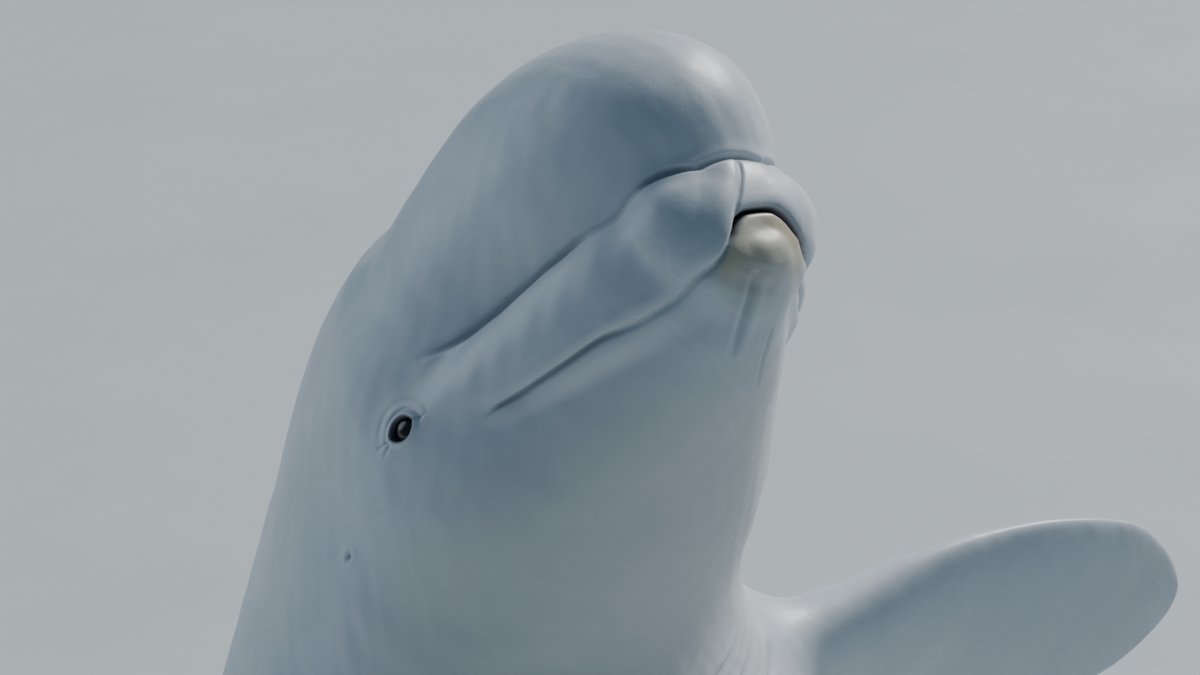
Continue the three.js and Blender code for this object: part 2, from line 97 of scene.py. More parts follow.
class SmoothCurve:
    """A smooth curve through pairs of place and value, in rising order, that never overshoots them."""

    def __init__(self, *pairs: Span) -> None:
        """Works out the slope at each of the pairs.

        Args:
            pairs: places and values.
        """
        self.place, self.value = np.array(pairs, float).T
        self.end = self.place[-1]
        slopes = np.diff(self.value) / np.diff(self.place)
        before = np.r_[slopes[0], slopes]
        after = np.r_[slopes, slopes[-1]]
        turning = before * after <= 0
        total = np.where(turning, 1.0, before + after)
        self.tangent = np.where(turning, 0.0, 2 * before * after / total)

    def __call__(self, x: Array) -> Array:
        """Reads the curve. Its end values hold beyond its ends.

        Args:
            x: places, in an array or as one number.

        Returns:
            The values there.
        """
        i = np.clip(np.searchsorted(self.place, x, side="right") - 1, 0, len(self.place) - 2)
        width = self.place[i + 1] - self.place[i]
        t = np.clip((x - self.place[i]) / width, 0, 1)
        rise = t * t * (3 - 2 * t)
        bend = t * (1 - t) * width
        level = self.value[i] * (1 - rise) + self.value[i + 1] * rise
        return level + bend * ((1 - t) * self.tangent[i] - t * self.tangent[i + 1])


def blend(a: Array, b: Array, reach: Array | float) -> Array:
    """Joins two distances with a rounded valley that reaches this far."""
    h = np.clip(0.5 + 0.5 * (b - a) / reach, 0, 1)
    return b + (a - b) * h - reach * h * (1 - h)


def smoothstep(x: Array, low: float, high: float) -> Array:
    """Rises smoothly from 0 at low to 1 at high, which may lie below low."""
    t = np.clip((x - low) / (high - low), 0, 1)
    return t * t * (3 - 2 * t)


def window(x: Array, start: float, full: float, fading: float, end: float) -> Array:
    """Rises smoothly from start to full and falls again from fading to end."""
    return smoothstep(x, start, full) * smoothstep(x, end, fading)


def bell(x: Array, width: float) -> Array:
    """A bell curve of height 1, fallen to about a third at its width."""
    return np.exp(-((x / width) ** 2))


def trench(off: Array, half_width: Array | float, steepness: int = 4) -> Array:
    """A groove of depth 1, with a flat bottom and half as deep at its half width."""
    return 1 / (1 + np.abs(off / half_width) ** steepness)


def unit(vectors: Array) -> Array:
    """The same directions with length 1."""
    return vectors / np.maximum(np.linalg.norm(vectors, axis=-1, keepdims=True), TINY)


def slope_of(distance: Callable[[Array], Array], points: Array, step: float = 0.001) -> Array:
    """The outward direction of a distance at points, sampled a step to each side."""
    columns = [distance(points + axis) - distance(points - axis) for axis in np.eye(3) * step]
    return unit(np.stack(columns, 1))


@dataclass(frozen=True)
class Mass:
    """A rounded mass of the head, as an ellipsoid that may be pitched in the side view."""

    centre: Point
    half: Point
    pitch: float = 0.0

    def distance(self, x: Array, y: Array, z: Array) -> Array:
        """Measures how far points are from it.

        Args:
            x, y, z: the points.

        Returns:
            The distances.
        """
        c, s = math.cos(self.pitch), math.sin(self.pitch)
        along = (x - self.centre[0]) * c + (z - self.centre[2]) * s
        up = (z - self.centre[2]) * c - (x - self.centre[0]) * s
        across = y - self.centre[1]
        a, b, d = self.half
        scaled = np.sqrt((along / a) ** 2 + (across / b) ** 2 + (up / d) ** 2)
        steep = np.sqrt((along / a**2) ** 2 + (across / b**2) ** 2 + (up / d**2) ** 2)
        return scaled * (scaled - 1) / np.maximum(steep, TINY)


# Form of the straight whale


@dataclass(frozen=True)
class Trunk:
    """The round of the body: rows of station, half width, height and depth, in millimetres."""

    stations: tuple[Reach, ...] = (
        (20, 24, 16, 22),
        (32, 46, 36, 42),
        (60, 60, 50, 58),
        (100, 81, 80, 75),
        (150, 106, 130, 93),
        (210, 135, 184, 114),
        (270, 159, 231, 137),
        (340, 180, 260, 162),
        (420, 200, 264, 190),
        (520, 226, 258, 222),
        (650, 288, 264, 268),
        (800, 338, 292, 314),
        (1150, 370, 336, 352),
        (1550, 378, 348, 370),
        (2000, 352, 338, 345),
        (2450, 278, 286, 278),
        (2850, 192, 220, 200),
        (3200, 115, 165, 140),
        (3500, 70, 120, 100),
        (3750, 45, 70, 60),
        (3950, 20, 20, 20),
    )
    start: float = 0.020
    length: float = 3.950

    def __post_init__(self) -> None:
        """Makes the three curves of the outline."""
        rows = np.array(self.stations, float) * MILLIMETRE
        for column, name in enumerate(("width", "height", "depth"), 1):
            object.__setattr__(self, name, SmoothCurve(*rows[:, [0, column]]))

    def distance(self, x: Array, y: Array, z: Array) -> Array:
        """Measures how far points are from the round of the body.

        Args:
            x, y, z: the points.

        Returns:
            The distances.
        """
        half_height = np.where(z > 0, self.height(-x), self.depth(-x))
        scaled = np.hypot(y / self.width(-x), z / half_height)
        return np.maximum(np.hypot(y, z) * (1 - 1 / np.maximum(scaled, TINY)), x + self.start)


@dataclass(frozen=True)
class LipSwelling:
    """The thick upper lip, a swelling along each side of the snout."""

    start: float = 0.045
    end: float = 0.340
    flatness: float = 0.95
    rounding: float = 0.008
    outward: SmoothCurve = SmoothCurve(
        (0.040, 0.037), (0.045, 0.037), (0.080, 0.0525), (0.120, 0.0725),
        (0.160, 0.092), (0.200, 0.110), (0.250, 0.132), (0.340, 0.166),
    )
    height: SmoothCurve = SmoothCurve(
        (0.040, 0.025), (0.080, 0.024), (0.120, 0.021), (0.160, 0.022),
        (0.200, 0.026), (0.250, 0.030), (0.340, 0.042),
    )
    radius: SmoothCurve = SmoothCurve(
        (0.040, 0.051), (0.045, 0.051), (0.080, 0.0535), (0.120, 0.051), (0.160, 0.047),
        (0.200, 0.042), (0.250, 0.035), (0.300, 0.023), (0.340, 0.0),
    )

    def distance(self, x: Array, y: Array, z: Array) -> Array:
        """Measures how far points are from the swelling.

        Args:
            x, y, z: the points.

        Returns:
            The distances.
        """
        ahead = np.minimum(-x - self.start, 0)
        aside = np.hypot(y, self.rounding) - self.outward(-x)
        up = (z - self.height(-x)) * self.flatness
        round_part = np.sqrt(ahead**2 + aside**2 + up**2) - self.radius(-x)
        return np.maximum(round_part, -x - self.end)


@dataclass(frozen=True)
class DorsalRidge:
    """The low, notched ridge that a beluga has in place of a fin."""

    start: float = 1.930
    end: float = 2.510
    rise: float = 0.017
    notch_length: float = 0.046
    notch_share: float = 0.16
    softness: float = 0.020

    def distance(self, x: Array, y: Array, z: Array, back: SmoothCurve) -> Array:
        """Measures how far points are from the ridge.

        Args:
            x, y, z: the points.
            back: the height of the back at each station.

        Returns:
            The distances.
        """
        middle = (self.start + self.end) / 2
        share = (-x - middle) / ((self.end - self.start) / 2)
        taper = np.sqrt(np.clip(1 - share**2, 0, 1))
        notches = 1 - self.notch_share * (1 + np.sin(-x * math.tau / self.notch_length)) / 2
        return np.hypot(y, z - back(-x)) - self.rise * taper * notches


@dataclass(frozen=True)
class HeadForm:
    """The masses of the head and how softly each joins the rest."""

    melon: Mass = Mass((-0.159, 0, 0.148), (0.197, 0.130, 0.128), -0.226)
    nape: Mass = Mass((-0.327, 0, 0.110), (0.169, 0.173, 0.152))
    cheek: Mass = Mass((-0.334, 0.081, 0.021), (0.100, 0.093, 0.103))
    snout_hood: Mass = Mass((-0.025, 0, 0.039), (0.036, 0.049, 0.041))
    jaw_tip: Mass = Mass((-0.046, 0, -0.017), (0.046, 0.041, 0.029))
    nape_blend: float = 0.060
    cheek_blend: float = 0.060
    lip_blend: SmoothCurve = SmoothCurve((0.050, 0.018), (0.110, 0.010))
    hood_blend: float = 0.018
    melon_blend: SmoothCurve = SmoothCurve(
        (0, 0.006), (0.100, 0.008), (0.200, 0.012), (0.270, 0.025), (0.330, 0.070)
    )
    rear: float = 0.680

    def dome(self, x: Array, y: Array, z: Array) -> Array:
        """Distances to the melon and the nape together."""
        return blend(self.melon.distance(x, y, z), self.nape.distance(x, y, z), self.nape_blend)


@dataclass(frozen=True)
class WhaleForm:
    """The whole straight whale without its limbs, as one smooth distance."""

    trunk: Trunk = Trunk()
    head: HeadForm = HeadForm()
    lip: LipSwelling = LipSwelling()
    ridge: DorsalRidge = DorsalRidge()
    ray_stride: float = 0.025
    ray_limit: float = 0.8
    halvings: int = 17

    def distance(self, points: Array) -> Array:
        """Measures how far points are from the skin.

        Args:
            points: the points.

        Returns:
            The distances.
        """
        x, y, z = points.T
        found = self.trunk.distance(x, y, z)
        front = np.flatnonzero(-x < self.head.rear)
        if len(front):
            found[front] = self._with_head(found[front], x[front], y[front], z[front])
        ridge = self.ridge
        near = np.flatnonzero((-x > ridge.start) & (-x < ridge.end) & (z > 0))
        if len(near):
            raised = ridge.distance(x[near], y[near], z[near], self.trunk.height)
            found[near] = blend(found[near], raised, ridge.softness)
        return found

    def _with_head(self, trunk: Array, x: Array, y: Array, z: Array) -> Array:
        """Adds the masses of the head to the round of the body.

        Args:
            trunk: distances to the round of the body.
            x, y, z: the points.

        Returns:
            The distances to them all.
        """
        head = self.head
        lip_blend = head.lip_blend(-x)
        found = blend(trunk, head.cheek.distance(x, np.abs(y), z), head.cheek_blend)
        found = blend(found, head.dome(x, y, z), head.melon_blend(-x))
        found = blend(found, head.jaw_tip.distance(x, y, z), lip_blend)
        found = blend(found, self.lip.distance(x, y, z), lip_blend)
        return blend(found, head.snout_hood.distance(x, y, z), head.hood_blend)

    def cast(self, origins: Array, directions: Array) -> Array:
        """Follows rays from inside the whale to the skin.

        Args:
            origins: where the rays start.
            directions: their directions, of length 1.

        Returns:
            The points where they meet it.
        """
        inside = np.zeros(len(origins))
        going = np.arange(len(origins))
        while len(going) and inside[going[0]] < self.ray_limit:
            ahead = inside[going] + self.ray_stride
            still = self.distance(origins[going] + directions[going] * ahead[:, None]) <= 0
            going = going[still]
            inside[going] += self.ray_stride
        outside = inside + self.ray_stride
        for _ in range(self.halvings):
            middle = (inside + outside) / 2
            within = self.distance(origins + directions * middle[:, None]) < 0
            inside = np.where(within, middle, inside)
            outside = np.where(within, outside, middle)
        return origins + directions * inside[:, None]

    def skin_point(self, station: float, angle: float, height: float = 0.0) -> Array:
        """Finds a point of the skin.

        Args:
            station: where it is along the whale.
            angle: its turn round the axis in degrees, from the back over the left side.
            height: how far above the axis the turn is taken.

        Returns:
            The point.
        """
        a = math.radians(angle)
        direction = np.array([[0.0, math.sin(a), math.cos(a)]])
        return self.cast(np.array([[-station, 0.0, height]]), direction)[0]


# Limbs


@dataclass(frozen=True)
class LimbForm:
    """A flat limb: rounded sections along a span, fuller in their forward half."""

    span: float
    tip_start: float
    half_chord: SmoothCurve
    half_thickness: SmoothCurve
    middle: SmoothCurve
    lift: SmoothCurve
    origin: Array
    axes: Array
    fullness: float = 0.35
    thinnest: float = 1e-4

    def sections(self, share: Array) -> tuple[Array, Array, Array, Array]:
        """Reads the sections.

        Args:
            share: places along the span, from 0 to 1.

        Returns:
            Half chord, half thickness, middle and lift there.
        """
        past = np.maximum(share - self.tip_start, 0) / (1 - self.tip_start)
        taper = np.sqrt(np.maximum(1 - past**2, 0))
        chord = taper * self.half_chord(share)
        return chord, taper * self.half_thickness(share), self.middle(share), self.lift(share)

    def mesh(self, columns: int, rows: int) -> tuple[Array, Array, Array]:
        """Builds the closed limb.

        Args:
            columns: points round each section.
            rows: sections between the two ends.

        Returns:
            Points, quads and triangles.
        """
        turn = np.arange(columns) / columns * math.tau
        round_x, round_z = np.cos(turn), np.sin(turn)
        share = (1 - np.cos(np.arange(1, rows) / rows * math.pi)) / 2
        chord, thickness, middle, lift = (v[:, None] for v in self.sections(share))
        across = middle + chord * round_x
        through = lift + thickness * (1 + self.fullness * round_x) * round_z
        out = np.broadcast_to(share[:, None] * self.span, across.shape)
        ends = [(self.middle(end), end * self.span, self.lift(end)) for end in (0.0, 1.0)]
        local = np.vstack([np.stack([across, out, through], -1).reshape(-1, 3), ends])
        return self.origin + local @ self.axes.T, *closed_grid_faces(rows - 1, columns)

    def distance(self, points: Array) -> Array:
        """Measures roughly how far points are from the limb, and exactly where its skin is.

        Args:
            points: the points.

        Returns:
            The distances.
        """
        local = (points - self.origin) @ self.axes
        share = np.clip(local[:, 1] / self.span, 0, 1)
        chord, thickness, middle, lift = self.sections(share)
        across = (local[:, 0] - middle) / np.maximum(chord, self.thinnest)
        fuller = 1 + self.fullness * np.clip(across, -1, 1)
        full = np.maximum(thickness, self.thinnest) * fuller
        aside = np.hypot(local[:, 0] - middle, local[:, 2] - lift)
        scaled = np.hypot(across, (local[:, 2] - lift) / full)
        return aside * (1 - 1 / np.maximum(scaled, TINY))


@dataclass(frozen=True)
class Flipper:
    """Sizes of a flipper, held out to the side, nearly level."""

    grid: ClassVar[tuple[int, int]] = (96, 120)
    station: float = 0.652
    outward: float = 0.185
    drop: float = 0.095
    span: float = 0.660
    sweep: float = 12.0
    lift: float = -7.0
    tip_start: float = 0.8
    half_chord: SmoothCurve = SmoothCurve(
        (0, 0), (0.03, 0.058), (0.2, 0.072), (0.45, 0.102), (0.66, 0.113), (0.85, 0.100), (1, 0.070)
    )
    half_thickness: SmoothCurve = SmoothCurve(
        (0, 0), (0.03, 0.038), (0.25, 0.032), (0.5, 0.020), (0.8, 0.012), (1, 0.008)
    )
    swept_back: SmoothCurve = SmoothCurve((0, 0), (0.4, 0), (1, -0.055))
    curl: tuple[Span, ...] = ((0, 0), (0.6, 0), (1, 0.020))

    def form(self, side: Side) -> LimbForm:
        """Sets the flipper at its root.

        Args:
            side: which of the two it is.

        Returns:
            The limb in the straight whale.
        """
        sweep, lift, sign = math.radians(self.sweep), math.radians(self.lift), side.value
        level = math.cos(lift)
        outward = np.array([math.sin(lift), sign * level * math.cos(sweep), -level * math.sin(sweep)])
        leading = unit(np.array([1.0, 0.0, 0.0]) - outward * outward[0])
        return LimbForm(
            span=self.span,
            tip_start=self.tip_start,
            half_chord=self.half_chord,
            half_thickness=self.half_thickness,
            middle=self.swept_back,
            lift=SmoothCurve(*((t, sign * rise) for t, rise in self.curl)),
            origin=np.array([-self.station, sign * self.outward, -self.drop]),
            axes=np.stack([leading, outward, np.cross(leading, outward)], 1),
        )


@dataclass(frozen=True)
class Fluke:
    """Sizes of half of the tail fin, with the stations of its two edges along its reach."""

    grid: ClassVar[tuple[int, int]] = (80, 150)
    reach: float = 0.470
    inset: float = 0.090
    tip_start: float = 0.9
    leading: SmoothCurve = SmoothCurve(
        (0, 3.640), (0.16, 3.655), (0.3, 3.700), (0.6, 3.810), (0.85, 3.908), (1, 3.966)
    )
    trailing: SmoothCurve = SmoothCurve(
        (0, 3.952), (0.16, 3.952), (0.27, 3.988), (0.5, 4.018), (0.8, 4.026), (1, 4.012)
    )
    half_thickness: SmoothCurve = SmoothCurve(
        (0, 0), (0.02, 0.024), (0.2, 0.022), (0.5, 0.013), (0.9, 0.007), (1, 0.005)
    )
    shares: tuple[float, ...] = (0.02, 0.08, 0.16, 0.3, 0.45, 0.6, 0.75, 0.88, 0.96, 1)

    def form(self, side: Side) -> LimbForm:
        """Sets the blade at the end of the tail.

        Args:
            side: which of the two it is.

        Returns:
            The limb in the straight whale.
        """
        chords = [(t, (self.trailing(t) - self.leading(t)) / 2) for t in self.shares]
        middles = [(t, -(self.leading(t) + self.trailing(t)) / 2) for t in (0.0, *self.shares)]
        return LimbForm(
            span=self.reach + self.inset,
            tip_start=self.tip_start,
            half_chord=SmoothCurve((0.0, 0.0), *chords),
            half_thickness=self.half_thickness,
            middle=SmoothCurve(*middles),
            lift=SmoothCurve((0, 0), (1, 0)),
            origin=np.array([0.0, -side.value * self.inset, 0.0]),
            axes=np.diag([1.0, side.value, side.value]),
        )


@dataclass(frozen=True)
class WholeForm:
    """The body with its limbs: two flippers, then the two halves of the tail fin."""

    body: WhaleForm
    limbs: Sequence[LimbForm]
    root_blend: float = 0.055
    shoulder: Span = (0.45, 1.15)
    tail: Span = (3.5, 5.0)
    past_middle: float = 0.02
    press_step: float = 0.0005
    longest_press: float = 0.01
    least_slope: float = 0.05

    def limb_distance(self, points: Array) -> Array:
        """Measures how far points are from the nearest limb.

        Args:
            points: the points.

        Returns:
            The distances, or 1 far away.
        """
        found = np.ones(len(points))
        station, aside = -points[:, 0], points[:, 1]
        for limb, (start, end) in zip(self.limbs, (self.shoulder, self.shoulder, self.tail, self.tail)):
            own_side = aside * limb.axes[1, 1] > -self.past_middle
            near = np.flatnonzero((station > start) & (station < end) & own_side)
            if len(near):
                found[near] = np.minimum(found[near], limb.distance(points[near]))
        return found

    def distance(self, points: Array) -> Array:
        """Measures how far points are from body and limbs together, with rounded roots.

        Args:
            points: the points.

        Returns:
            The distances.
        """
        body = self.body.distance(points)
        limb = self.limb_distance(points)
        near = limb < 1
        body[near] = blend(body[near], limb[near], self.root_blend)
        return body

    def press(self, points: Array) -> Array:
        """Moves points close to the skin straight onto it.

        Args:
            points: the points.

        Returns:
            The moved points.
        """
        for _ in range(2):
            here = self.distance(points)
            ahead = [self.distance(points + axis) for axis in np.eye(3) * self.press_step]
            slope = (np.stack(ahead, 1) - here[:, None]) / self.press_step
            move = -here / np.maximum((slope**2).sum(1), self.least_slope)
            points = points + slope * np.clip(move, -self.longest_press, self.longest_press)[:, None]
        return points


# Meshes


def closed_grid_faces(rows: int, columns: int) -> tuple[Array, Array]:
    """Faces of a grid that closes round its columns, with one more point beyond each end.

    Args:
        rows: rows of the grid.
        columns: points in each row.

    Returns:
        Quads of the grid, and triangles to the points rows * columns and rows * columns + 1.
    """
    here = np.arange(columns)
    there = (here + 1) % columns
    start = np.arange(rows - 1)[:, None] * columns
    quads = np.stack([start + here, start + columns + here, start + columns + there, start + there], -1)
    first, last = rows * columns, rows * columns + 1
    end = (rows - 1) * columns
    front = np.stack([np.full(columns, first), here, there], -1)
    back = np.stack([np.full(columns, last), end + there, end + here], -1)
    return quads.reshape(-1, 4), np.vstack([front, back])


def make_object(name: str, points: Array, *face_sets: Array, crisp: float | None = None) -> Object:
    """Makes a smooth-shaded mesh object, linked to the scene.

    Args:
        name: the object's name.
        points: its points.
        face_sets: arrays of faces, one array for each number of corners.
        crisp: the angle in degrees from which its edges are crisp, if any are.

    Returns:
        The object.
    """
    mesh = bpy.data.meshes.new(name)
    corners = np.concatenate([faces.ravel() for faces in face_sets])
    sizes = np.concatenate([np.full(len(faces), faces.shape[1]) for faces in face_sets])
    mesh.vertices.add(len(points))
    mesh.vertices.foreach_set("co", np.ascontiguousarray(points, np.float32).ravel())
    mesh.loops.add(len(corners))
    mesh.loops.foreach_set("vertex_index", corners.astype(np.int32))
    mesh.polygons.add(len(sizes))
    mesh.polygons.foreach_set("loop_start", np.r_[0, np.cumsum(sizes)[:-1]].astype(np.int32))
    mesh.update(calc_edges=True)
    mesh.validate()
    mesh.shade_smooth()
    if crisp is not None:
        mesh.set_sharp_from_angle(angle=math.radians(crisp))
    made = bpy.data.objects.new(name, mesh)
    bpy.context.scene.collection.objects.link(made)
    return made


def points_of(mesh: Mesh) -> Array:
    """Reads the points of a mesh.

    Args:
        mesh: the mesh.

    Returns:
        The points.
    """
    found = np.empty(len(mesh.vertices) * 3, np.float32)
    mesh.vertices.foreach_get("co", found)
    return found.reshape(-1, 3).astype(float)


def join_solids(base: Object, added: Sequence[Object]) -> None:
    """Unites closed objects into the first and removes the others.

    Args:
        base: the object that stays.
        added: the objects that go into it.
    """
    bpy.context.view_layer.objects.active = base
    for other in added:
        union = base.modifiers.new("union", "BOOLEAN")
        union.operation = "UNION"
        union.solver = "MANIFOLD"
        union.object = other
        bpy.ops.object.modifier_apply(modifier=union.name)
        bpy.data.objects.remove(other)


def dress(piece: Object, finish: Finish, slot: Slot, *replaced: str) -> Object:
    """Gives a piece its finish, and tells what it rides on and what it stands for.

    Args:
        piece: the object.
        finish: its finish.
        slot: the material slot; not used.
        replaced: the nodes that it replaces.

    Returns:
        The object.
    """
    piece.data.materials.clear()
    piece.data.materials.append(finish.material())
    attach(piece, ROOT_BODY)
    if replaced:
        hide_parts(*replaced)
    return piece


class Neighbours:
    """Averages over the points that share an edge."""

    def __init__(self, mesh: Mesh, chosen: Array) -> None:
        """Keeps the edges that touch chosen points.

        Args:
            mesh: the mesh.
            chosen: true for each point that may move.
        """
        edges = np.empty(len(mesh.edges) * 2, np.int32)
        mesh.edges.foreach_get("vertices", edges)
        edges = edges.reshape(-1, 2)
        both = np.vstack([edges, edges[:, ::-1]])
        self.start, self.end = both[chosen[both[:, 0]]].T
        self.count = len(chosen)
        self.number = np.maximum(np.bincount(self.start, minlength=self.count), 1)

    def average(self, values: Array) -> Array:
        """Averages each chosen point's neighbours.

        Args:
            values: a column for each of x, y and z.

        Returns:
            The averages.
        """
        columns = []
        for column in values[self.end].T:
            columns.append(np.bincount(self.start, weights=column, minlength=self.count))
        return np.stack(columns, 1) / self.number[:, None]


# Pose


@dataclass(frozen=True)
class SpinePose:
    """The bent spine: how steeply the back rises at each station, and the head's turn on the neck."""

    pitch: SmoothCurve = SmoothCurve(
        (0, 88), (0.9, 88), (1.4, 80), (2.0, 66), (2.8, 49), (3.4, 41), (3.95, 37)
    )
    head_nod: float = 30.4
    head_lean: float = 7.1
    head_twist: float = -10.0
    bend_start: float = 0.300
    bend_end: float = 0.640
    snout: Point = (0.057, -0.570, 3.484)
    step: float = 0.005
    length: float = 4.050
    shoulder_station: float = 0.640
    shoulder_inside: float = 0.270
    shoulder_outside: float = 0.410

    def __post_init__(self) -> None:
        """Follows the spine from the snout and keeps a place and a turn for each step."""
        head_turn = Quaternion()
        for axis, angle in zip(np.eye(3), (self.head_nod, self.head_lean, self.head_twist)):
            head_turn = head_turn @ Quaternion(axis, math.radians(angle))
        place = Vector(self.snout)
        places, turns, before = [], [], None
        for station in np.arange(0, self.length + self.step / 2, self.step):
            share = float(smoothstep(station, self.bend_end, self.bend_start))
            a = math.radians(float(self.pitch(max(station, self.bend_end))))
            trunk = Matrix(((0, 1, 0), (-math.cos(a), 0, math.sin(a)), (math.sin(a), 0, math.cos(a))))
            turn = Quaternion().slerp(head_turn, share).to_matrix() @ trunk
            forward = turn.col[0].copy()
            if before is not None:
                place = place - (forward + before) * (self.step / 2)
            before = forward
            places.append(tuple(place))
            turns.append([tuple(row) for row in turn])
        object.__setattr__(self, "places", np.array(places))
        object.__setattr__(self, "turns", np.array(turns))

    def frame_at(self, station: Array) -> tuple[Array, Array]:
        """Reads the spine.

        Args:
            station: the stations.

        Returns:
            Places, and turns as matrices whose columns are forward, left and up.
        """
        steps = np.clip(station / self.step, 0, len(self.places) - 1.001)
        i = np.floor(steps).astype(int)
        t = (steps - i)[:, None]
        place = self.places[i] * (1 - t) + self.places[i + 1] * t
        turn = self.turns[i] * (1 - t[:, :, None]) + self.turns[i + 1] * t[:, :, None]
        return place, turn

    def bend(self, points: Array) -> Array:
        """Moves points of the straight whale into the pose. The flippers keep their own shape.

        Args:
            points: the points.

        Returns:
            The points in the pose.
        """
        station = -points[:, 0]
        out = smoothstep(np.abs(points[:, 1]), self.shoulder_inside, self.shoulder_outside)
        held = station + np.maximum(self.shoulder_station - station, 0) * out
        held = np.clip(held, 0, self.length)
        place, turn = self.frame_at(held)
        local = np.column_stack([held - station, points[:, 1], points[:, 2]])
        return place + np.einsum("nij,nj->ni", turn, local)

    def turn_vector(self, station: float, vector: Array) -> Array:
        """Turns a direction of the straight whale at a station into the pose."""
        _, turn = self.frame_at(np.array([station]))
        return turn[0] @ vector


# Features of the skin


@dataclass(frozen=True)
class EyeSite:
    """Where an eye is: a place on the skin with its own along, up and out."""

    origin: Array
    along: Array
    up: Array
    out: Array
    station: float

    def local(self, points: Array) -> tuple[Array, Array, Array]:
        """Reads points in the eye's own directions."""
        away = points - self.origin
        return away @ self.along, away @ self.up, away @ self.out


@dataclass(frozen=True)
class EyeForm:
    """Sizes of an eye and of the almond opening between its lids."""

    station: float = 0.292
    height: float = 0.034
    radius: float = 0.0175
    depth: float = 0.0150
    half_length: float = 0.0130
    upper_rise: float = 0.0095
    lower_rise: float = 0.0082
    reach: float = 0.060
    fine_reach: float = 0.034

    def site(self, form: WhaleForm, side: Side) -> EyeSite:
        """Finds the eye's place on the skin.

        Args:
            form: the straight whale.
            side: which eye it is.

        Returns:
            The place and its directions.
        """
        point = form.skin_point(self.station, 90 * side.value, self.height)
        out = slope_of(form.distance, point[None])[0]
        along = unit(np.array([1.0, 0.0, 0.0]) - out * out[0])
        return EyeSite(point, along, np.cross(along, out) * side.value, out, self.station)

    def opening(self, along: Array, up: Array) -> Array:
        """Measures how far places are from the edge of the lids.

        Args:
            along: places along the head from the eye's middle.
            up: places above it.

        Returns:
            The distances, negative in the opening.
        """
        found = np.full(along.shape, -1.0)
        for rise, sign in ((self.upper_rise, 1), (self.lower_rise, -1)):
            sunk = (self.half_length**2 - rise**2) / (2 * rise)
            found = np.maximum(found, np.hypot(along, sign * up + sunk) - (sunk + rise))
        return found


@dataclass
class Relief:
    """What the features of the skin add at each of its points."""

    points: Array
    height: Array
    masks: dict[str, Array]

    @classmethod
    def flat(cls, points: Array, names: Sequence[str]) -> Relief:
        """A relief with nothing on it yet, and the colour masks to keep."""
        return cls(points, np.zeros(len(points)), {name: np.zeros(len(points)) for name in names})

    def tint(self, name: str, amount: Array, where: Array | slice = slice(None)) -> None:
        """Raises a mask to at least an amount at some of the points."""
        self.masks[name][where] = np.maximum(self.masks[name][where], np.clip(amount, 0, 1))


@dataclass(frozen=True)
class Fold:
    """A crease over the skin, with a soft roll on each side. Its path is stations and angles."""

    path: tuple[Span, ...]
    depth: float
    width: float
    roll: float = 0.4
    shade: float = 0.5
    steps: ClassVar[int] = 12
    reach_in_widths: ClassVar[float] = 4
    roll_offset_in_widths: ClassVar[float] = 2.2
    roll_width_in_widths: ClassVar[float] = 1.2

    def line(self, form: WhaleForm) -> Array:
        """Lays the fold on the skin.

        Args:
            form: the straight whale.

        Returns:
            Points along it.
        """
        places = np.linspace(0, 1, len(self.path))
        fine = np.linspace(0, 1, self.steps * (len(self.path) - 1) + 1)
        stations, angles = (SmoothCurve(*zip(places, column))(fine) for column in zip(*self.path))
        return np.array([form.skin_point(*spot) for spot in zip(stations, angles)])

    def carve(self, relief: Relief, form: WhaleForm, clear: Array) -> None:
        """Presses the fold into the skin and paints shade along it.

        Args:
            relief: the relief to add to.
            form: the straight whale.
            clear: 1 for each point well away from the limbs, 0 beside them.
        """
        line, margin = self.line(form), self.reach_in_widths * self.width
        low, high = line.min(0) - margin, line.max(0) + margin
        near = np.flatnonzero(((relief.points > low) & (relief.points < high)).all(1))
        points = relief.points[near]
        closest = np.full(len(near), np.inf)
        share = np.zeros(len(near))
        for i, (start, end) in enumerate(zip(line[:-1], line[1:])):
            way = end - start
            t = np.clip((points - start) @ way / max(way @ way, TINY), 0, 1)
            off = np.linalg.norm(points - start - t[:, None] * way, axis=1)
            share = np.where(off < closest, (i + t) / (len(line) - 1), share)
            closest = np.minimum(closest, off)
        taper = np.sqrt(np.clip(np.sin(share * math.pi), 0, 1)) * clear[near]
        groove = bell(closest, self.width) * taper
        beside = closest - self.roll_offset_in_widths * self.width
        roll = self.roll * bell(beside, self.roll_width_in_widths * self.width) * taper
        relief.height[near] += self.depth * (roll - groove)
        # painted shade along the bottom of the fold
        relief.tint("crease", self.shade * groove, near)


class Ripples:
    """Soft undulations from seeded waves in all directions."""

    def __init__(self, length: float, seed: int, waves: int = 14) -> None:
        """Draws the waves.

        Args:
            length: the usual length of a wave.
            seed: the seed of the draw.
            waves: how many waves there are.
        """
        draw = np.random.default_rng(seed)
        self.direction = unit(draw.normal(size=(waves, 3))) * math.tau / length
        self.direction *= draw.uniform(0.6, 1.5, (waves, 1))
        self.phase = draw.uniform(0, math.tau, waves)

    def __call__(self, points: Array) -> Array:
        """The heights of the undulation, mostly between -1 and 1."""
        waves = (np.sin(points @ way + phase) for way, phase in zip(self.direction, self.phase))
        return sum(waves) / math.sqrt(len(self.phase))


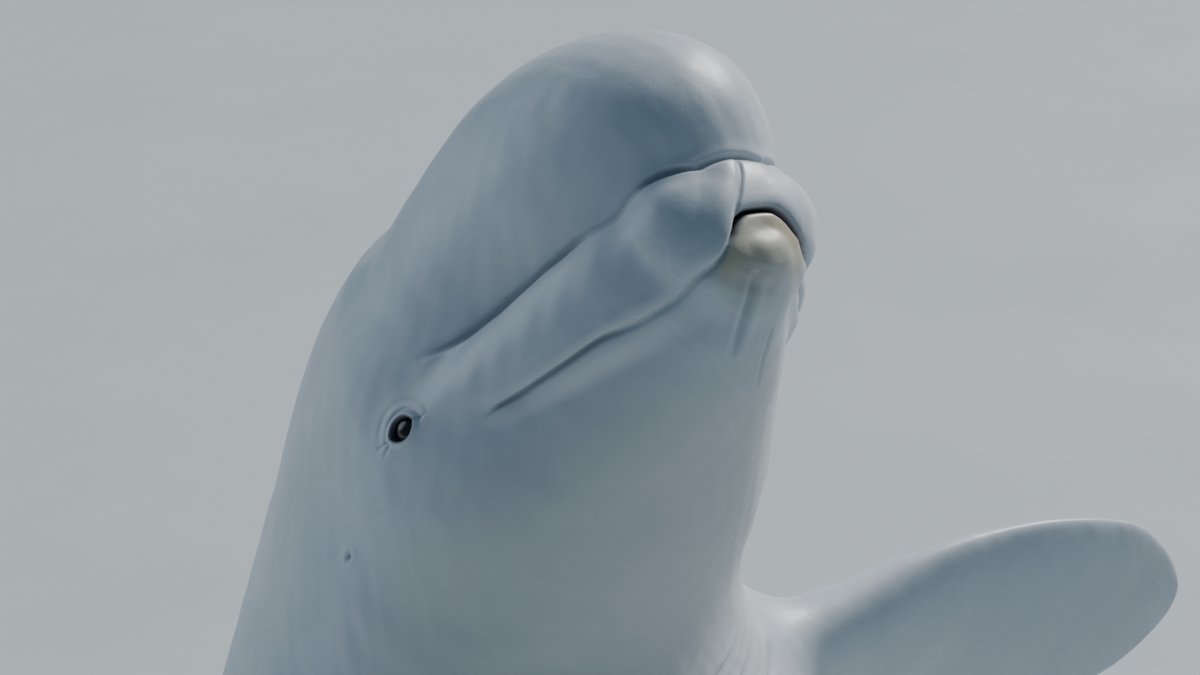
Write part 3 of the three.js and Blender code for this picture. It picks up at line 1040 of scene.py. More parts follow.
@dataclass(frozen=True)
class Blubber:
    """The soft unevenness of the body: waves of three lengths, and a long roll on each side of the belly.

    A layer of waves has its length, its seed, its height and the stations between which it rises and
    fades. The roll and the hollow beside it have their angle and width, in degrees from the back.
    """

    layers: tuple[tuple[float, int, float, Reach], ...] = (
        (0.55, 3, 0.0035, (0.7, 1.1, 3.1, 3.7)),
        (0.11, 4, 0.0006, (-2.0, -1.0, 8.0, 9.0)),
        (0.030, 5, 0.00022, (-2.0, -1.0, 0.5, 1.1)),
    )
    roll: Span = (152, 9)
    hollow: Span = (166, 8)
    hollow_share: float = 0.6
    roll_height: float = 0.007
    roll_reach: Reach = (1.1, 1.5, 2.3, 2.7)

    def carve(self, relief: Relief) -> None:
        """Adds the unevenness.

        Args:
            relief: the relief to add to.
        """
        x, y, z = relief.points.T
        for length, seed, height, reach in self.layers:
            relief.height += height * window(-x, *reach) * Ripples(length, seed)(relief.points)
        angle = np.degrees(np.arctan2(np.abs(y), z))
        rolls = bell(angle - self.roll[0], self.roll[1])
        rolls -= self.hollow_share * bell(angle - self.hollow[0], self.hollow[1])
        relief.height += self.roll_height * rolls * window(-x, *self.roll_reach)


@dataclass(frozen=True)
class Mouth:
    """The line of the mouth: open a little at the front, pressed shut along the sides.

    Its curves are read by the way round the snout, which is the station and the distance aside together.
    """

    line: SmoothCurve = SmoothCurve(
        (-0.060, 0.0098), (-0.004, 0.0098), (0.004, 0.0090), (0.011, 0.0062), (0.020, 0.0008),
        (0.030, -0.0072), (0.040, -0.0138), (0.052, -0.0190), (0.070, -0.0222), (0.124, -0.0235),
        (0.163, -0.0225), (0.212, -0.0165), (0.260, -0.0135), (0.315, -0.0085), (0.360, -0.0025),
        (0.390, 0.000),
    )
    depth: SmoothCurve = SmoothCurve(
        (-0.060, 0.010), (0.030, 0.010), (0.043, 0.0055), (0.056, 0.0030), (0.120, 0.0020),
        (0.180, 0.0024), (0.230, 0.0042), (0.340, 0.0042), (0.375, 0.0),
    )
    half_width: SmoothCurve = SmoothCurve(
        (-0.060, 0.0017), (0.040, 0.0016), (0.070, 0.0018), (0.120, 0.0024), (0.220, 0.0016),
        (0.340, 0.0015), (0.375, 0.0022),
    )
    lip_roll: SmoothCurve = SmoothCurve(
        (-0.060, 0.0005), (0.060, 0.0005), (0.120, 0.0006), (0.230, 0.0018), (0.340, 0.0018),
        (0.380, 0.0),
    )
    lip_offset: float = 0.0080
    lip_width: float = 0.0055
    rounding: float = 0.006
    slope_step: float = 0.002
    slope_share: float = 1.2
    left_reach: float = 0.013
    left_fade: Span = (0.1, 0.06)
    middle_width: float = 0.02
    carved_width: float = 0.03
    # depths over which the slit's inside and its crease take painted shade
    inner_depths: Span = (0.0045, 0.0085)
    crease_depths: Span = (0.0010, 0.0035)

    def off(self, points: Array) -> tuple[Array, Array]:
        """Measures how far points are above the line.

        Args:
            points: the points.

        Returns:
            The way round the snout and the distances, negative below the line.
        """
        way = np.hypot(points[:, 1], self.rounding) - self.rounding - points[:, 0]
        step = self.slope_step
        slope = (self.line(way + step) - self.line(way - step)) / (2 * step)
        return way, (points[:, 2] - self.line(way)) / np.hypot(1, self.slope_share * slope)

    def carve(self, relief: Relief) -> None:
        """Presses the mouth into the skin and paints shade into its slit.

        Args:
            relief: the relief to add to.
        """
        way, off = self.off(relief.points)
        near = np.flatnonzero((way < self.line.end) & (np.abs(off) < self.carved_width))
        way, off = way[near], off[near]
        groove = trench(off, self.half_width(way), 3)
        to_left = np.clip(relief.points[near, 1] / self.middle_width, -1, 1)
        depth = self.depth(way - self.left_reach * to_left * smoothstep(way, *self.left_fade))
        rolls = bell(np.abs(off) - self.lip_offset, self.lip_width)
        relief.height[near] += self.lip_roll(way) * rolls - depth * groove
        # painted shade: the slit's inside darkens where it is deep, over the pinkish colour of the tissue,
        # and the crease where it is shallow
        relief.tint("inner", groove * smoothstep(depth, *self.inner_depths), near)
        relief.tint("crease", groove * smoothstep(depth, *self.crease_depths), near)


@dataclass(frozen=True)
class HeadCreases:
    """The crease under the melon, and the cleft of the snout, where the right lip laps over the left."""

    melon_depth: SmoothCurve = SmoothCurve(
        (-0.020, 0.0060), (0.010, 0.0060), (0.030, 0.0025), (0.075, 0.0025), (0.110, 0.0055),
        (0.190, 0.0060), (0.225, 0.0050), (0.262, 0.0),
    )
    melon_width: float = 0.0034
    melon_path: SmoothCurve = SmoothCurve(
        (0.100, 0.063), (0.140, 0.067), (0.180, 0.071), (0.220, 0.073), (0.262, 0.081)
    )
    onto_path: Span = (0.120, 0.170)
    closeness: float = 0.016
    shade: float = 0.75
    shaded_depths: Span = (0.001, 0.005)
    lowest: float = -0.030
    melon_rise: Span = (0.010, 0.030)
    cleft: SmoothCurve = SmoothCurve(
        (0.000, -0.026), (0.009, -0.024), (0.024, -0.015), (0.043, -0.004), (0.060, 0.002)
    )
    cleft_depth: float = 0.0024
    cleft_width: float = 0.0026
    cleft_shade: float = 0.8
    cleft_stations: Span = (0.030, 0.012)
    cleft_top: Span = (0.060, 0.050)
    above_mouth: Span = (-0.001, 0.005)
    overlap: float = 0.0045
    overlap_reach: Reach = (-0.0020, 0.0100, 0.012, 0.040)

    def under_melon(self, form: WhaleForm, points: Array) -> Array:
        """Measures how far points are from the crease under the melon.

        Args:
            form: the straight whale.
            points: the points.

        Returns:
            The distances, negative below it, or 1 far away.
        """
        x, y, z = points.T
        front = np.minimum(form.lip.distance(x, y, z), form.head.snout_hood.distance(x, y, z))
        dome = form.head.dome(x, y, z)
        along_path = smoothstep(-x, *self.onto_path)
        off = (front - dome) * (1 - along_path) + (z - self.melon_path(-x)) * along_path
        far = (np.maximum(front, dome) > self.closeness) & (along_path < 1)
        return np.where(far, 1.0, off)

    def carve(self, relief: Relief, form: WhaleForm, mouth: Mouth) -> None:
        """Presses the creases into the skin and paints shade into them.

        Args:
            relief: the relief to add to.
            form: the straight whale.
            mouth: the mouth that the cleft runs into.
        """
        ahead = -relief.points[:, 0] < self.melon_depth.end
        near = np.flatnonzero(ahead & (relief.points[:, 2] > self.lowest))
        points = relief.points[near]
        station, aside, height = -points[:, 0], points[:, 1], points[:, 2]
        depth = self.melon_depth(station) * smoothstep(height, *self.melon_rise)
        groove = trench(self.under_melon(form, points), self.melon_width)
        relief.height[near] -= depth * groove
        # painted shade along the crease under the melon
        relief.tint("crease", self.shade * groove * smoothstep(depth, *self.shaded_depths), near)
        front = smoothstep(station, *self.cleft_stations) * smoothstep(height, *self.cleft_top)
        front = front * smoothstep(mouth.off(points)[1], *self.above_mouth)
        right = self.cleft(height) - aside
        groove = bell(right, self.cleft_width)
        step = window(right, *self.overlap_reach)
        relief.height[near] += front * (self.overlap * step - self.cleft_depth * groove)
        # painted shade in the cleft of the snout
        relief.tint("crease", self.cleft_shade * front * groove, near)


@dataclass(frozen=True)
class Blowhole:
    """The crescent of the blowhole, its horns forward, with a fleshy rim."""

    station: float = 0.376
    half_width: float = 0.036
    bow: float = 0.010
    slit: float = 0.0022
    depth: float = 0.010
    rim: float = 0.0035
    rim_offset: float = 0.008
    rim_width: float = 0.006
    mound: float = 0.004
    mound_width: float = 0.035
    inner_shade: float = 0.8
    shade: float = 0.35
    shade_width: float = 0.007
    reach: float = 0.12
    lowest: float = 0.1

    def carve(self, relief: Relief) -> None:
        """Presses the blowhole into the skin and raises its rim, with painted shade in the slit and round
        it.

        Args:
            relief: the relief to add to.
        """
        x, y, z = relief.points.T
        close = (np.abs(x + self.station) < self.reach) & (np.abs(y) < self.reach)
        near = np.flatnonzero(close & (z > self.lowest))
        x, y = x[near] + self.station, y[near]
        across = np.clip(y / self.half_width, -1, 1)
        past = np.maximum(np.abs(y) - self.half_width, 0)
        off = np.hypot(x + self.bow * (1 - across**2), past)
        groove = trench(off, self.slit)
        rim = self.rim * bell(off - self.rim_offset, self.rim_width)
        mound = self.mound * bell(off, self.mound_width)
        relief.height[near] += mound + rim - self.depth * groove
        # painted shade in the slit of the blowhole, and a softer ring of it round the slit
        relief.tint("inner", self.inner_shade * groove, near)
        relief.tint("crease", self.shade * bell(off, self.shade_width), near)


@dataclass(frozen=True)
class Lids:
    """The lids of an eye: a rounded edge, the folds round it and the creases at its corners.

    A fold has its distance from the edge, its depth and its width. A corner crease has the end of the eye
    that it starts from, forward or back, its angle in degrees and its length.
    """

    socket: float = 0.011
    edge_rise: float = 0.0024
    edge_offset: float = 0.0026
    edge_width: float = 0.0024
    swell: float = 0.0030
    swell_width: float = 0.018
    folds: tuple[Point, ...] = ((0.0075, 0.0014, 0.0015), (0.0160, 0.0007, 0.0026))
    fold_height: Span = (-0.010, 0.004)
    unevenness: float = 0.25
    uneven_turn: float = 400
    full_shade_depth: float = 0.0024
    corner_creases: tuple[Point, ...] = ((-1, -24, 0.022), (-1, 8, 0.026), (1, -10, 0.018))
    crease_start: float = 0.003
    crease_full_share: float = 0.4
    crease_depth: float = 0.0012
    crease_width: float = 0.0014
    crease_shade: float = 0.45
    hollow_edge: Span = (0.0004, -0.0012)
    # where the lid margin's painted shade starts and how soon it fades
    dark_offset: float = 0.0008
    dark_width: float = 0.0016
    thickness: float = 0.04

    def carve(self, relief: Relief, eye: EyeForm, site: EyeSite) -> None:
        """Shapes the skin round one eye and paints shade into its folds and opening.

        Args:
            relief: the relief to add to.
            eye: the sizes of the eye.
            site: where the eye is.
        """
        along, up, out = site.local(relief.points)
        near = np.flatnonzero((np.hypot(along, up) < eye.reach) & (np.abs(out) < self.thickness))
        along, up = along[near], up[near]
        gap = eye.opening(along, up)
        height = self.swell * bell(np.maximum(gap, 0), self.swell_width)
        height += self.edge_rise * bell(gap - self.edge_offset, self.edge_width)
        shade = np.zeros(len(near))
        for offset, depth, width in self.folds:
            waves = np.sin(3 * np.arctan2(up, along) + offset * self.uneven_turn)
            uneven = 1 - self.unevenness + self.unevenness * waves
            groove = bell(gap - offset, width) * smoothstep(up, *self.fold_height) * uneven
            height -= depth * groove
            shade = np.maximum(shade, groove * depth / self.full_shade_depth)
        for end, angle, length in self.corner_creases:
            c, s = math.cos(math.radians(angle)), math.sin(math.radians(angle))
            away = end * (along - end * eye.half_length)
            fading = length * self.crease_full_share
            taper = window(away * c + up * s, 0, self.crease_start, fading, length)
            groove = bell(up * c - away * s, self.crease_width) * taper
            height -= self.crease_depth * groove
            shade = np.maximum(shade, self.crease_shade * groove)
        hollow = smoothstep(gap, *self.hollow_edge)
        relief.height[near] += height * (1 - hollow) - self.socket * hollow
        # painted shade on the lid margin into the sunken opening, partly the margin's own darker colour, and
        # in the folds and corner creases
        relief.tint("lid_margin_and_shade", bell(np.maximum(gap - self.dark_offset, 0), self.dark_width), near)
        relief.tint("crease", shade, near)


@dataclass(frozen=True)
class Ear:
    """The pinhole of an ear behind the eye, with a low rim."""

    station: float = 0.412
    angle: float = 88.0
    depth: float = 0.0035
    width: float = 0.0024
    rim: float = 0.0012
    rim_offset: float = 0.006
    rim_width: float = 0.004
    shade: float = 0.9

    def carve(self, relief: Relief, form: WhaleForm, side: Side) -> None:
        """Presses the pinhole into the skin and paints shade into it.

        Args:
            relief: the relief to add to.
            form: the straight whale.
            side: which ear it is.
        """
        place = form.skin_point(self.station, self.angle * side.value)
        off = np.linalg.norm(relief.points - place, axis=1)
        pit = bell(off, self.width)
        relief.height += self.rim * bell(off - self.rim_offset, self.rim_width) - self.depth * pit
        # painted shade in the pinhole
        relief.tint("crease", self.shade * pit)


@dataclass(frozen=True)
class Markings:
    """Where the colour changes: the creamy tip of the jaw, the throat and the rim of the tail fin."""

    cream_below_mouth: Span = (0.002, -0.004)
    cream_height: Span = (-0.060, -0.022)
    cream_way: Span = (0.085, 0.045)
    throat: Reach = (0.05, 0.15, 0.40, 0.62)
    throat_height: Span = (0.0, -0.09)
    rim_stations: Span = (3.90, 4.01)
    rim_closeness: Span = (0.02, 0.0)

    def paint(self, relief: Relief, mouth: Mouth, limbs: Array) -> None:
        """Sets the masks that follow the anatomy.

        Args:
            relief: the relief to add to.
            mouth: the mouth.
            limbs: distances to the nearest limb.
        """
        x, _, z = relief.points.T
        way, off = mouth.off(relief.points)
        below = smoothstep(off, *self.cream_below_mouth) * smoothstep(z, *self.cream_height)
        relief.tint("cream", below * smoothstep(way, *self.cream_way))
        relief.tint("warm", window(-x, *self.throat) * smoothstep(z, *self.throat_height))
        relief.tint("edge", smoothstep(-x, *self.rim_stations) * smoothstep(limbs, *self.rim_closeness))


@dataclass(frozen=True)
class SkinFeatures:
    """All that is pressed into the skin or raised on it, and the masks that colour it, painted shade among
    them.
    """

    eye: EyeForm = EyeForm()
    lids: Lids = Lids()
    mouth: Mouth = Mouth()
    creases: HeadCreases = HeadCreases()
    blowhole: Blowhole = Blowhole()
    blubber: Blubber = Blubber()
    ear: Ear = Ear()
    markings: Markings = Markings()
    # the first three masks carry painted shade: in creases and pits, inside the mouth and blowhole, and
    # round the eyes
    masks: tuple[str, ...] = ("crease", "inner", "lid_margin_and_shade", "cream", "warm", "edge")
    folds: tuple[Fold, ...] = (
        Fold(((0.014, 207), (0.041, 200), (0.082, 194)), 0.0030, 0.0034, 0.5, 0.6),
        Fold(((0.060, 164), (0.085, 166), (0.120, 163)), 0.0010, 0.0022),
        Fold(((0.455, 100), (0.470, 130), (0.478, 165)), 0.0026, 0.0060),
        Fold(((0.500, 82), (0.522, 120), (0.528, 165), (0.520, 200)), 0.0034, 0.0075),
        Fold(((0.552, 72), (0.575, 110), (0.582, 155), (0.572, 195)), 0.0034, 0.0080),
        Fold(((0.612, 78), (0.628, 115), (0.632, 150)), 0.0024, 0.0080),
        Fold(((1.940, 180), (1.975, 180)), 0.0050, 0.0080, 0.5, 0.5),
        Fold(((2.420, 180), (2.500, 180), (2.590, 180)), 0.0070, 0.0055, 0.6, 0.7),
        Fold(((2.655, 180), (2.685, 180)), 0.0050, 0.0060, 0.5, 0.6),
    )
    clear_of_limbs: Span = (0.015, 0.075)
    snout_spot: Point = (-0.012, 0.0, 0.008)
    snout_reach: float = 0.060
    fine_beside_blowhole: float = 0.012
    fine_beside_mouth: float = 0.007
    fine_beside_crease: float = 0.010
    crease_above: float = 0.030

    def relief(self, form: WhaleForm, points: Array, limbs: Array) -> Relief:
        """Gathers every feature at the points of the smooth skin.

        Args:
            form: the straight whale.
            points: the points.
            limbs: distances to the nearest limb.

        Returns:
            Heights and masks.
        """
        relief = Relief.flat(points, self.masks)
        self.blubber.carve(relief)
        for fold in self.folds:
            fold.carve(relief, form, smoothstep(limbs, *self.clear_of_limbs))
        self.mouth.carve(relief)
        self.creases.carve(relief, form, self.mouth)
        self.blowhole.carve(relief)
        for side in Side:
            self.lids.carve(relief, self.eye, self.eye.site(form, side))
            self.ear.carve(relief, form, side)
        self.markings.paint(relief, self.mouth, limbs)
        return relief

    def fine_places(self, form: WhaleForm, points: Array) -> Array:
        """Marks the points near the eyes, the blowhole, the mouth and the creases of the head.

        Args:
            form: the straight whale.
            points: the points.

        Returns:
            True for each point that needs a finer mesh.
        """
        spots = [(self.eye.site(form, side).origin, self.eye.fine_reach) for side in Side]
        blowhole_reach = self.blowhole.half_width + self.fine_beside_blowhole
        spots.append((form.skin_point(self.blowhole.station, 0), blowhole_reach))
        spots.append((np.array(self.snout_spot), self.snout_reach))
        way, off = self.mouth.off(points)
        found = (np.abs(off) < self.fine_beside_mouth) & (way < self.mouth.line.end)
        for centre, reach in spots:
            found |= np.linalg.norm(points - centre, axis=1) < reach
        ahead = (-points[:, 0] < self.creases.melon_depth.end) & (points[:, 2] > self.crease_above)
        return found | (ahead & (np.abs(self.creases.under_melon(form, points)) < self.fine_beside_crease))


# The skin as one mesh


@dataclass
class Skin:
    """The whole skin of the whale, from the snout to the flukes, as one closed mesh.

    A fan of rays from inside the head gives its front. Rings along the body follow, each stretch with its
    end, the step between its rings and how many of the fan's columns one of its columns stands for.
    """

    form: WhaleForm
    pose: SpinePose
    features: SkinFeatures
    flipper: Flipper = Flipper()
    fluke: Fluke = Fluke()
    fan_centre: Point = (-0.300, 0.0, 0.010)
    fan_rows: int = 250
    columns: int = 448
    column_crowding: float = 0.22
    row_crowding: float = 1.15
    centre_fade: float = 0.16
    stretches: tuple[tuple[float, float, int], ...] = (
        (0.70, 0.0035, 1),
        (1.20, 0.0070, 2),
        (3.950, 0.0130, 4),
    )
    settled_reach: float = 0.36
    settled_beside_seam: float = 0.066
    settle_rounds: int = 10
    replaced: tuple[str, ...] = (
        "head", "melon", "lower_jaw", "neck", "chest", "torso", "abdomen", "tail_stock",
        "flipper_left", "flipper_right", "fluke_left", "fluke_right", "dorsal_ridge",
    )

    def build(self, finish: Finish) -> Object:
        """Makes the skin in its pose and dresses it.

        Args:
            finish: its finish.

        Returns:
            The object.
        """
        skin = make_object("whale_skin", *self._body_grid())
        limbs, solids = [], []
        for kind in (self.flipper, self.fluke):
            for side in Side:
                limbs.append(kind.form(side))
                solids.append(make_object(f"limb_{len(limbs)}", *limbs[-1].mesh(*kind.grid)))
        join_solids(skin, solids)
        self._refine(skin.data)
        whole = WholeForm(self.form, limbs)
        points = self._settle(skin.data, whole)
        relief = self.features.relief(self.form, points, whole.limb_distance(points))
        raised = points + slope_of(whole.distance, points) * relief.height[:, None]
        self._store(skin.data, relief)
        skin.data.vertices.foreach_set("co", self.pose.bend(raised).astype(np.float32).ravel())
        skin.data.update()
        return dress(skin, finish, Slot.SKIN, *self.replaced)

    def _body_grid(self) -> tuple[Array, Array, Array]:
        """Casts the body without its limbs.

        Returns:
            Points, quads and triangles.
        """
        turn = np.arange(self.columns) / self.columns * math.tau
        around = turn + self.column_crowding * np.sin(2 * turn)
        round_part = np.stack([np.zeros(self.columns), np.sin(around), np.cos(around)], 1)
        centre = np.array(self.fan_centre)
        opening = math.pi / 2 * (np.arange(1, self.fan_rows + 1) / self.fan_rows) ** self.row_crowding
        rings = []
        for angle in opening:
            directions = math.cos(angle) * np.array([1.0, 0.0, 0.0]) + math.sin(angle) * round_part
            rings.append((np.broadcast_to(centre, directions.shape), directions))
        station = -centre[0]
        for end, step, stride in self.stretches:
            count = max(1, round((end - station) / step))
            directions = round_part[::stride]
            for here in np.linspace(station, end, count + 1)[1:]:
                height = centre[2] * max(0.0, 1 - (here + centre[0]) / self.centre_fade)
                if here < self.form.trunk.length - MILLIMETRE:
                    origin = np.array([-here, 0.0, height])
                    rings.append((np.broadcast_to(origin, directions.shape), directions))
            station = end
        return self._stitch(rings)

    def _stitch(self, rings: list[tuple[Array, Array]]) -> tuple[Array, Array, Array]:
        """Casts the rings and joins each to the next, also where the number of columns halves.

        Args:
            rings: origins and directions of each ring.

        Returns:
            Points, quads and triangles.
        """
        nose = self.form.cast(np.array([self.fan_centre]), np.array([[1.0, 0.0, 0.0]]))
        origins, directions = (np.vstack(parts) for parts in zip(*rings))
        ends = [nose, [[-self.form.trunk.length, 0.0, 0.0]]]
        points = np.vstack([self.form.cast(origins, directions), *ends])
        counts = [len(ring[0]) for ring in rings]
        starts = np.r_[0, np.cumsum(counts)]
        quads, triangles = [], []
        for here, there, before, count in zip(starts, starts[1:], counts, counts[1:]):
            j = np.arange(count)
            k = (j + 1) % count
            if before == count:
                quads.append(np.stack([here + j, there + j, there + k, here + k], 1))
            else:
                a, b, c = here + 2 * j, here + 2 * j + 1, here + (2 * j + 2) % before
                for corners in ((a, there + j, b), (b, there + j, there + k), (b, there + k, c)):
                    triangles.append(np.stack(corners, 1))
        first = np.arange(counts[0])
        last = starts[-2] + np.arange(counts[-1])
        snout = np.full(len(first), len(points) - 2)
        tail = np.full(len(last), len(points) - 1)
        triangles.append(np.stack([snout, first, np.roll(first, -1)], 1))
        triangles.append(np.stack([tail, np.roll(last, -1), last], 1))
        return points, np.vstack(quads)[:, ::-1], np.vstack(triangles)[:, ::-1]

    def _refine(self, mesh: Mesh) -> None:
        """Splits the faces where the features of the head are fine.

        Args:
            mesh: the skin's mesh, still smooth and straight.
        """
        fine = self.features.fine_places(self.form, points_of(mesh))
        grid = bmesh.new()
        grid.from_mesh(mesh)
        chosen = [e for e in grid.edges if fine[e.verts[0].index] and fine[e.verts[1].index]]
        bmesh.ops.subdivide_edges(grid, edges=chosen, cuts=1, use_grid_fill=True)
        bmesh.ops.triangulate(grid, faces=[f for f in grid.faces if len(f.verts) > 4])
        grid.to_mesh(mesh)
        grid.free()
        mesh.shade_smooth()

    def _settle(self, mesh: Mesh, whole: WholeForm) -> Array:
        """Evens out the points of the head and the roots, and brings them back onto the smooth skin.

        Args:
            mesh: the skin's mesh.
            whole: the body with its limbs.

        Returns:
            The settled points.
        """
        points = points_of(mesh)
        body, limb = np.abs(self.form.distance(points)), np.abs(whole.limb_distance(points))
        seam = (limb < self.settled_beside_seam) & (body < self.settled_beside_seam)
        chosen = seam | (-points[:, 0] < self.settled_reach)
        neighbours = Neighbours(mesh, chosen)
        moving = np.flatnonzero(chosen)
        for _ in range(self.settle_rounds):
            halfway = (neighbours.average(points)[moving] + points[moving]) / 2
            points[moving] = whole.press(halfway)
        return points

    def _store(self, mesh: Mesh, relief: Relief) -> None:
        """Keeps the masks and the straight whale's coordinates on the mesh for the material.

        Args:
            mesh: the skin's mesh.
            relief: its features, on its points in the straight whale.
        """
        straight = mesh.attributes.new("rest", "FLOAT_VECTOR", "POINT")
        straight.data.foreach_set("vector", relief.points.astype(np.float32).ravel())
        for name, values in relief.masks.items():
            kept = mesh.attributes.new(name, "FLOAT", "POINT")
            kept.data.foreach_set("value", values.astype(np.float32))


# Eyes


@dataclass
class Eyeball:
    """One eye: a ball with a slightly raised cornea."""

    form: WhaleForm
    pose: SpinePose
    eye: EyeForm
    cornea: float = 0.0006
    cornea_edge: Span = (34.0, 18.7)
    rows: int = 72
    columns: int = 72

    def build(self, side: Side, finish: Finish) -> Object:
        """Makes the eye in its socket.

        Args:
            side: which eye it is.
            finish: its finish.

        Returns:
            The object.
        """
        site, name = self.eye.site(self.form, side), f"eye_{side.name.lower()}"
        local = self._ball()
        axes = np.array([self.pose.turn_vector(site.station, v) for v in (site.along, site.up, site.out)])
        centre = self.pose.bend(site.origin[None])[0] - axes[2] * self.eye.depth
        faces = closed_grid_faces(self.rows - 1, self.columns)
        if np.linalg.det(axes) < 0:
            faces = [corners[:, ::-1] for corners in faces]
        ball = make_object(f"{name}_ball", centre + local @ axes, *faces)
        kept = ball.data.attributes.new("ball", "FLOAT_VECTOR", "POINT")
        kept.data.foreach_set("vector", (local / self.eye.radius).astype(np.float32).ravel())
        return dress(ball, finish, Slot.EYE, name)

    def _ball(self) -> Array:
        """The points of the ball, along, up and out.

        Returns:
            Rings of points, then the front and the back.
        """
        polar = np.arange(1, self.rows) / self.rows * math.pi
        turn = np.arange(self.columns) / self.columns * math.tau
        raised = self.cornea * smoothstep(np.degrees(polar), *self.cornea_edge)
        radius = (self.eye.radius + raised)[:, None]
        along = radius * np.sin(polar)[:, None] * np.cos(turn)
        up = radius * np.sin(polar)[:, None] * np.sin(turn)
        out = np.broadcast_to(radius * np.cos(polar)[:, None], along.shape)
        ends = [[0, 0, self.eye.radius + self.cornea], [0, 0, -self.eye.radius]]
        return np.vstack([np.stack([along, up, out], -1).reshape(-1, 3), ends])


# Stand


def lathe(profile: Sequence[Span], centre: Array, segments: int) -> tuple[Array, Array, Array]:
    """Turns an outline of radii and heights round an upright axis.

    Args:
        profile: radii and heights, which start and end on the axis.
        centre: a point of the axis.
        segments: points round it.

    Returns:
        Points, quads and triangles.
    """
    turn = np.arange(segments) / segments * math.tau
    inner = np.array(profile[1:-1])
    x = centre[0] + inner[:, :1] * np.cos(turn)
    y = centre[1] + inner[:, :1] * np.sin(turn)
    z = np.broadcast_to(inner[:, 1:], x.shape)
    ends = [(centre[0], centre[1], profile[end][1]) for end in (0, -1)]
    points = np.vstack([np.stack([x, y, z], -1).reshape(-1, 3), ends])
    quads, triangles = closed_grid_faces(len(inner), segments)
    return points, quads[:, ::-1], triangles[:, ::-1]


@dataclass(frozen=True)
class Rod:
    """A steel rod with a bolted foot, a collar and a rubber-lined cup under the body."""

    station: float
    name: str
    radius: float = 0.038
    foot: float = 0.0453
    foot_radius: float = 0.100
    cup_radius: float = 0.064
    cup_top: float = 0.110
    segments: int = 96
    crisp: float = 32
    bolts: int = 6
    bolt_ring: float = 0.078
    bolt_segments: int = 24
    bolt_seat: float = 0.0095
    bolt_outline: tuple[Span, ...] = (
        (0.0, 0.0), (0.0085, 0.0), (0.0085, 0.0070), (0.0078, 0.0080),
        (0.0046, 0.0080), (0.0042, 0.0077), (0.0042, 0.0030), (0.0, 0.0030),
    )

    def contact(self, form: WhaleForm, pose: SpinePose) -> Array:
        """The point under the body where the rod meets it."""
        depth = float(form.trunk.depth(self.station))
        return pose.bend(np.array([[-self.station, 0.0, -depth]]))[0]

    def steel_profile(self, top: float) -> list[Span]:
        """The steel part as radii and heights, from the foot to the inside of the cup.

        Args:
            top: the height where the rod meets the body.

        Returns:
            The outline.
        """
        foot, rim, rod, cup = self.foot, self.foot_radius, self.radius, self.cup_radius
        return [
            (0.0, foot), (rim - 0.001, foot), (rim, foot + 0.001), (rim, foot + 0.0085),
            (rim - 0.0015, foot + 0.010), (rod + 0.016, foot + 0.0115), (rod + 0.009, foot + 0.014),
            (rod + 0.004, foot + 0.020), (rod + 0.001, foot + 0.030), (rod, foot + 0.036),
            (rod, top - 0.150), (rod + 0.007, top - 0.150), (rod + 0.008, top - 0.149),
            (rod + 0.008, top - 0.126), (rod + 0.007, top - 0.125), (rod, top - 0.125),
            (rod, top - 0.106), (rod + 0.004, top - 0.095), (rod + 0.014, top - 0.084),
            (cup - 0.003, top - 0.078), (cup - 0.001, top - 0.076), (cup - 0.001, top - 0.056),
            (cup - 0.002, top - 0.055), (cup - 0.010, top - 0.055), (0.0, top - 0.055),
        ]

    def pad_profile(self, top: float) -> list[Span]:
        """The rubber pad as radii and heights.

        Args:
            top: the height where the rod meets the body.

        Returns:
            The outline.
        """
        cup, upper = self.cup_radius, top + self.cup_top
        return [
            (0.0, top - 0.058), (cup - 0.004, top - 0.058), (cup - 0.004, top - 0.052),
            (cup - 0.0005, top - 0.050), (cup, top - 0.046), (cup, upper), (0.0, upper),
        ]

    def build(self, form: WhaleForm, pose: SpinePose, steel: Finish, rubber: Finish) -> list[Object]:
        """Makes the rod, its pad and its bolts.

        Args:
            form: the straight whale.
            pose: its pose.
            steel: the finish of rod and bolts.
            rubber: the finish of the pad.

        Returns:
            The pieces.
        """
        place = self.contact(form, pose)
        rod = lathe(self.steel_profile(place[2]), place, self.segments)
        pad = lathe(self.pad_profile(place[2]), place, self.segments)
        made = [make_object(f"{self.name}_steel", *rod, crisp=self.crisp)]
        made.append(make_object(f"{self.name}_pad", *pad, crisp=self.crisp))
        made.append(make_object(f"{self.name}_bolts", *self._bolts(place)))
        dress(made[0], steel, Slot.STEEL, self.name)
        dress(made[1], rubber, Slot.STEEL)
        dress(made[2], steel, Slot.STEEL)
        return made

    def _bolts(self, place: Array) -> tuple[Array, Array, Array]:
        """The cap screws that hold the foot.

        Args:
            place: the rod's place.

        Returns:
            Points, quads and triangles of them all.
        """
        profile = [(r, self.foot + self.bolt_seat + z) for r, z in self.bolt_outline]
        parts = []
        for i in range(self.bolts):
            a = (i + 0.5) / self.bolts * math.tau
            centre = place + np.array([math.cos(a), math.sin(a), 0]) * self.bolt_ring
            points, *faces = lathe(profile, centre, self.bolt_segments)
            parts.append((points, *(corners + i * len(points) for corners in faces)))
        return tuple(np.vstack(kind) for kind in zip(*parts))


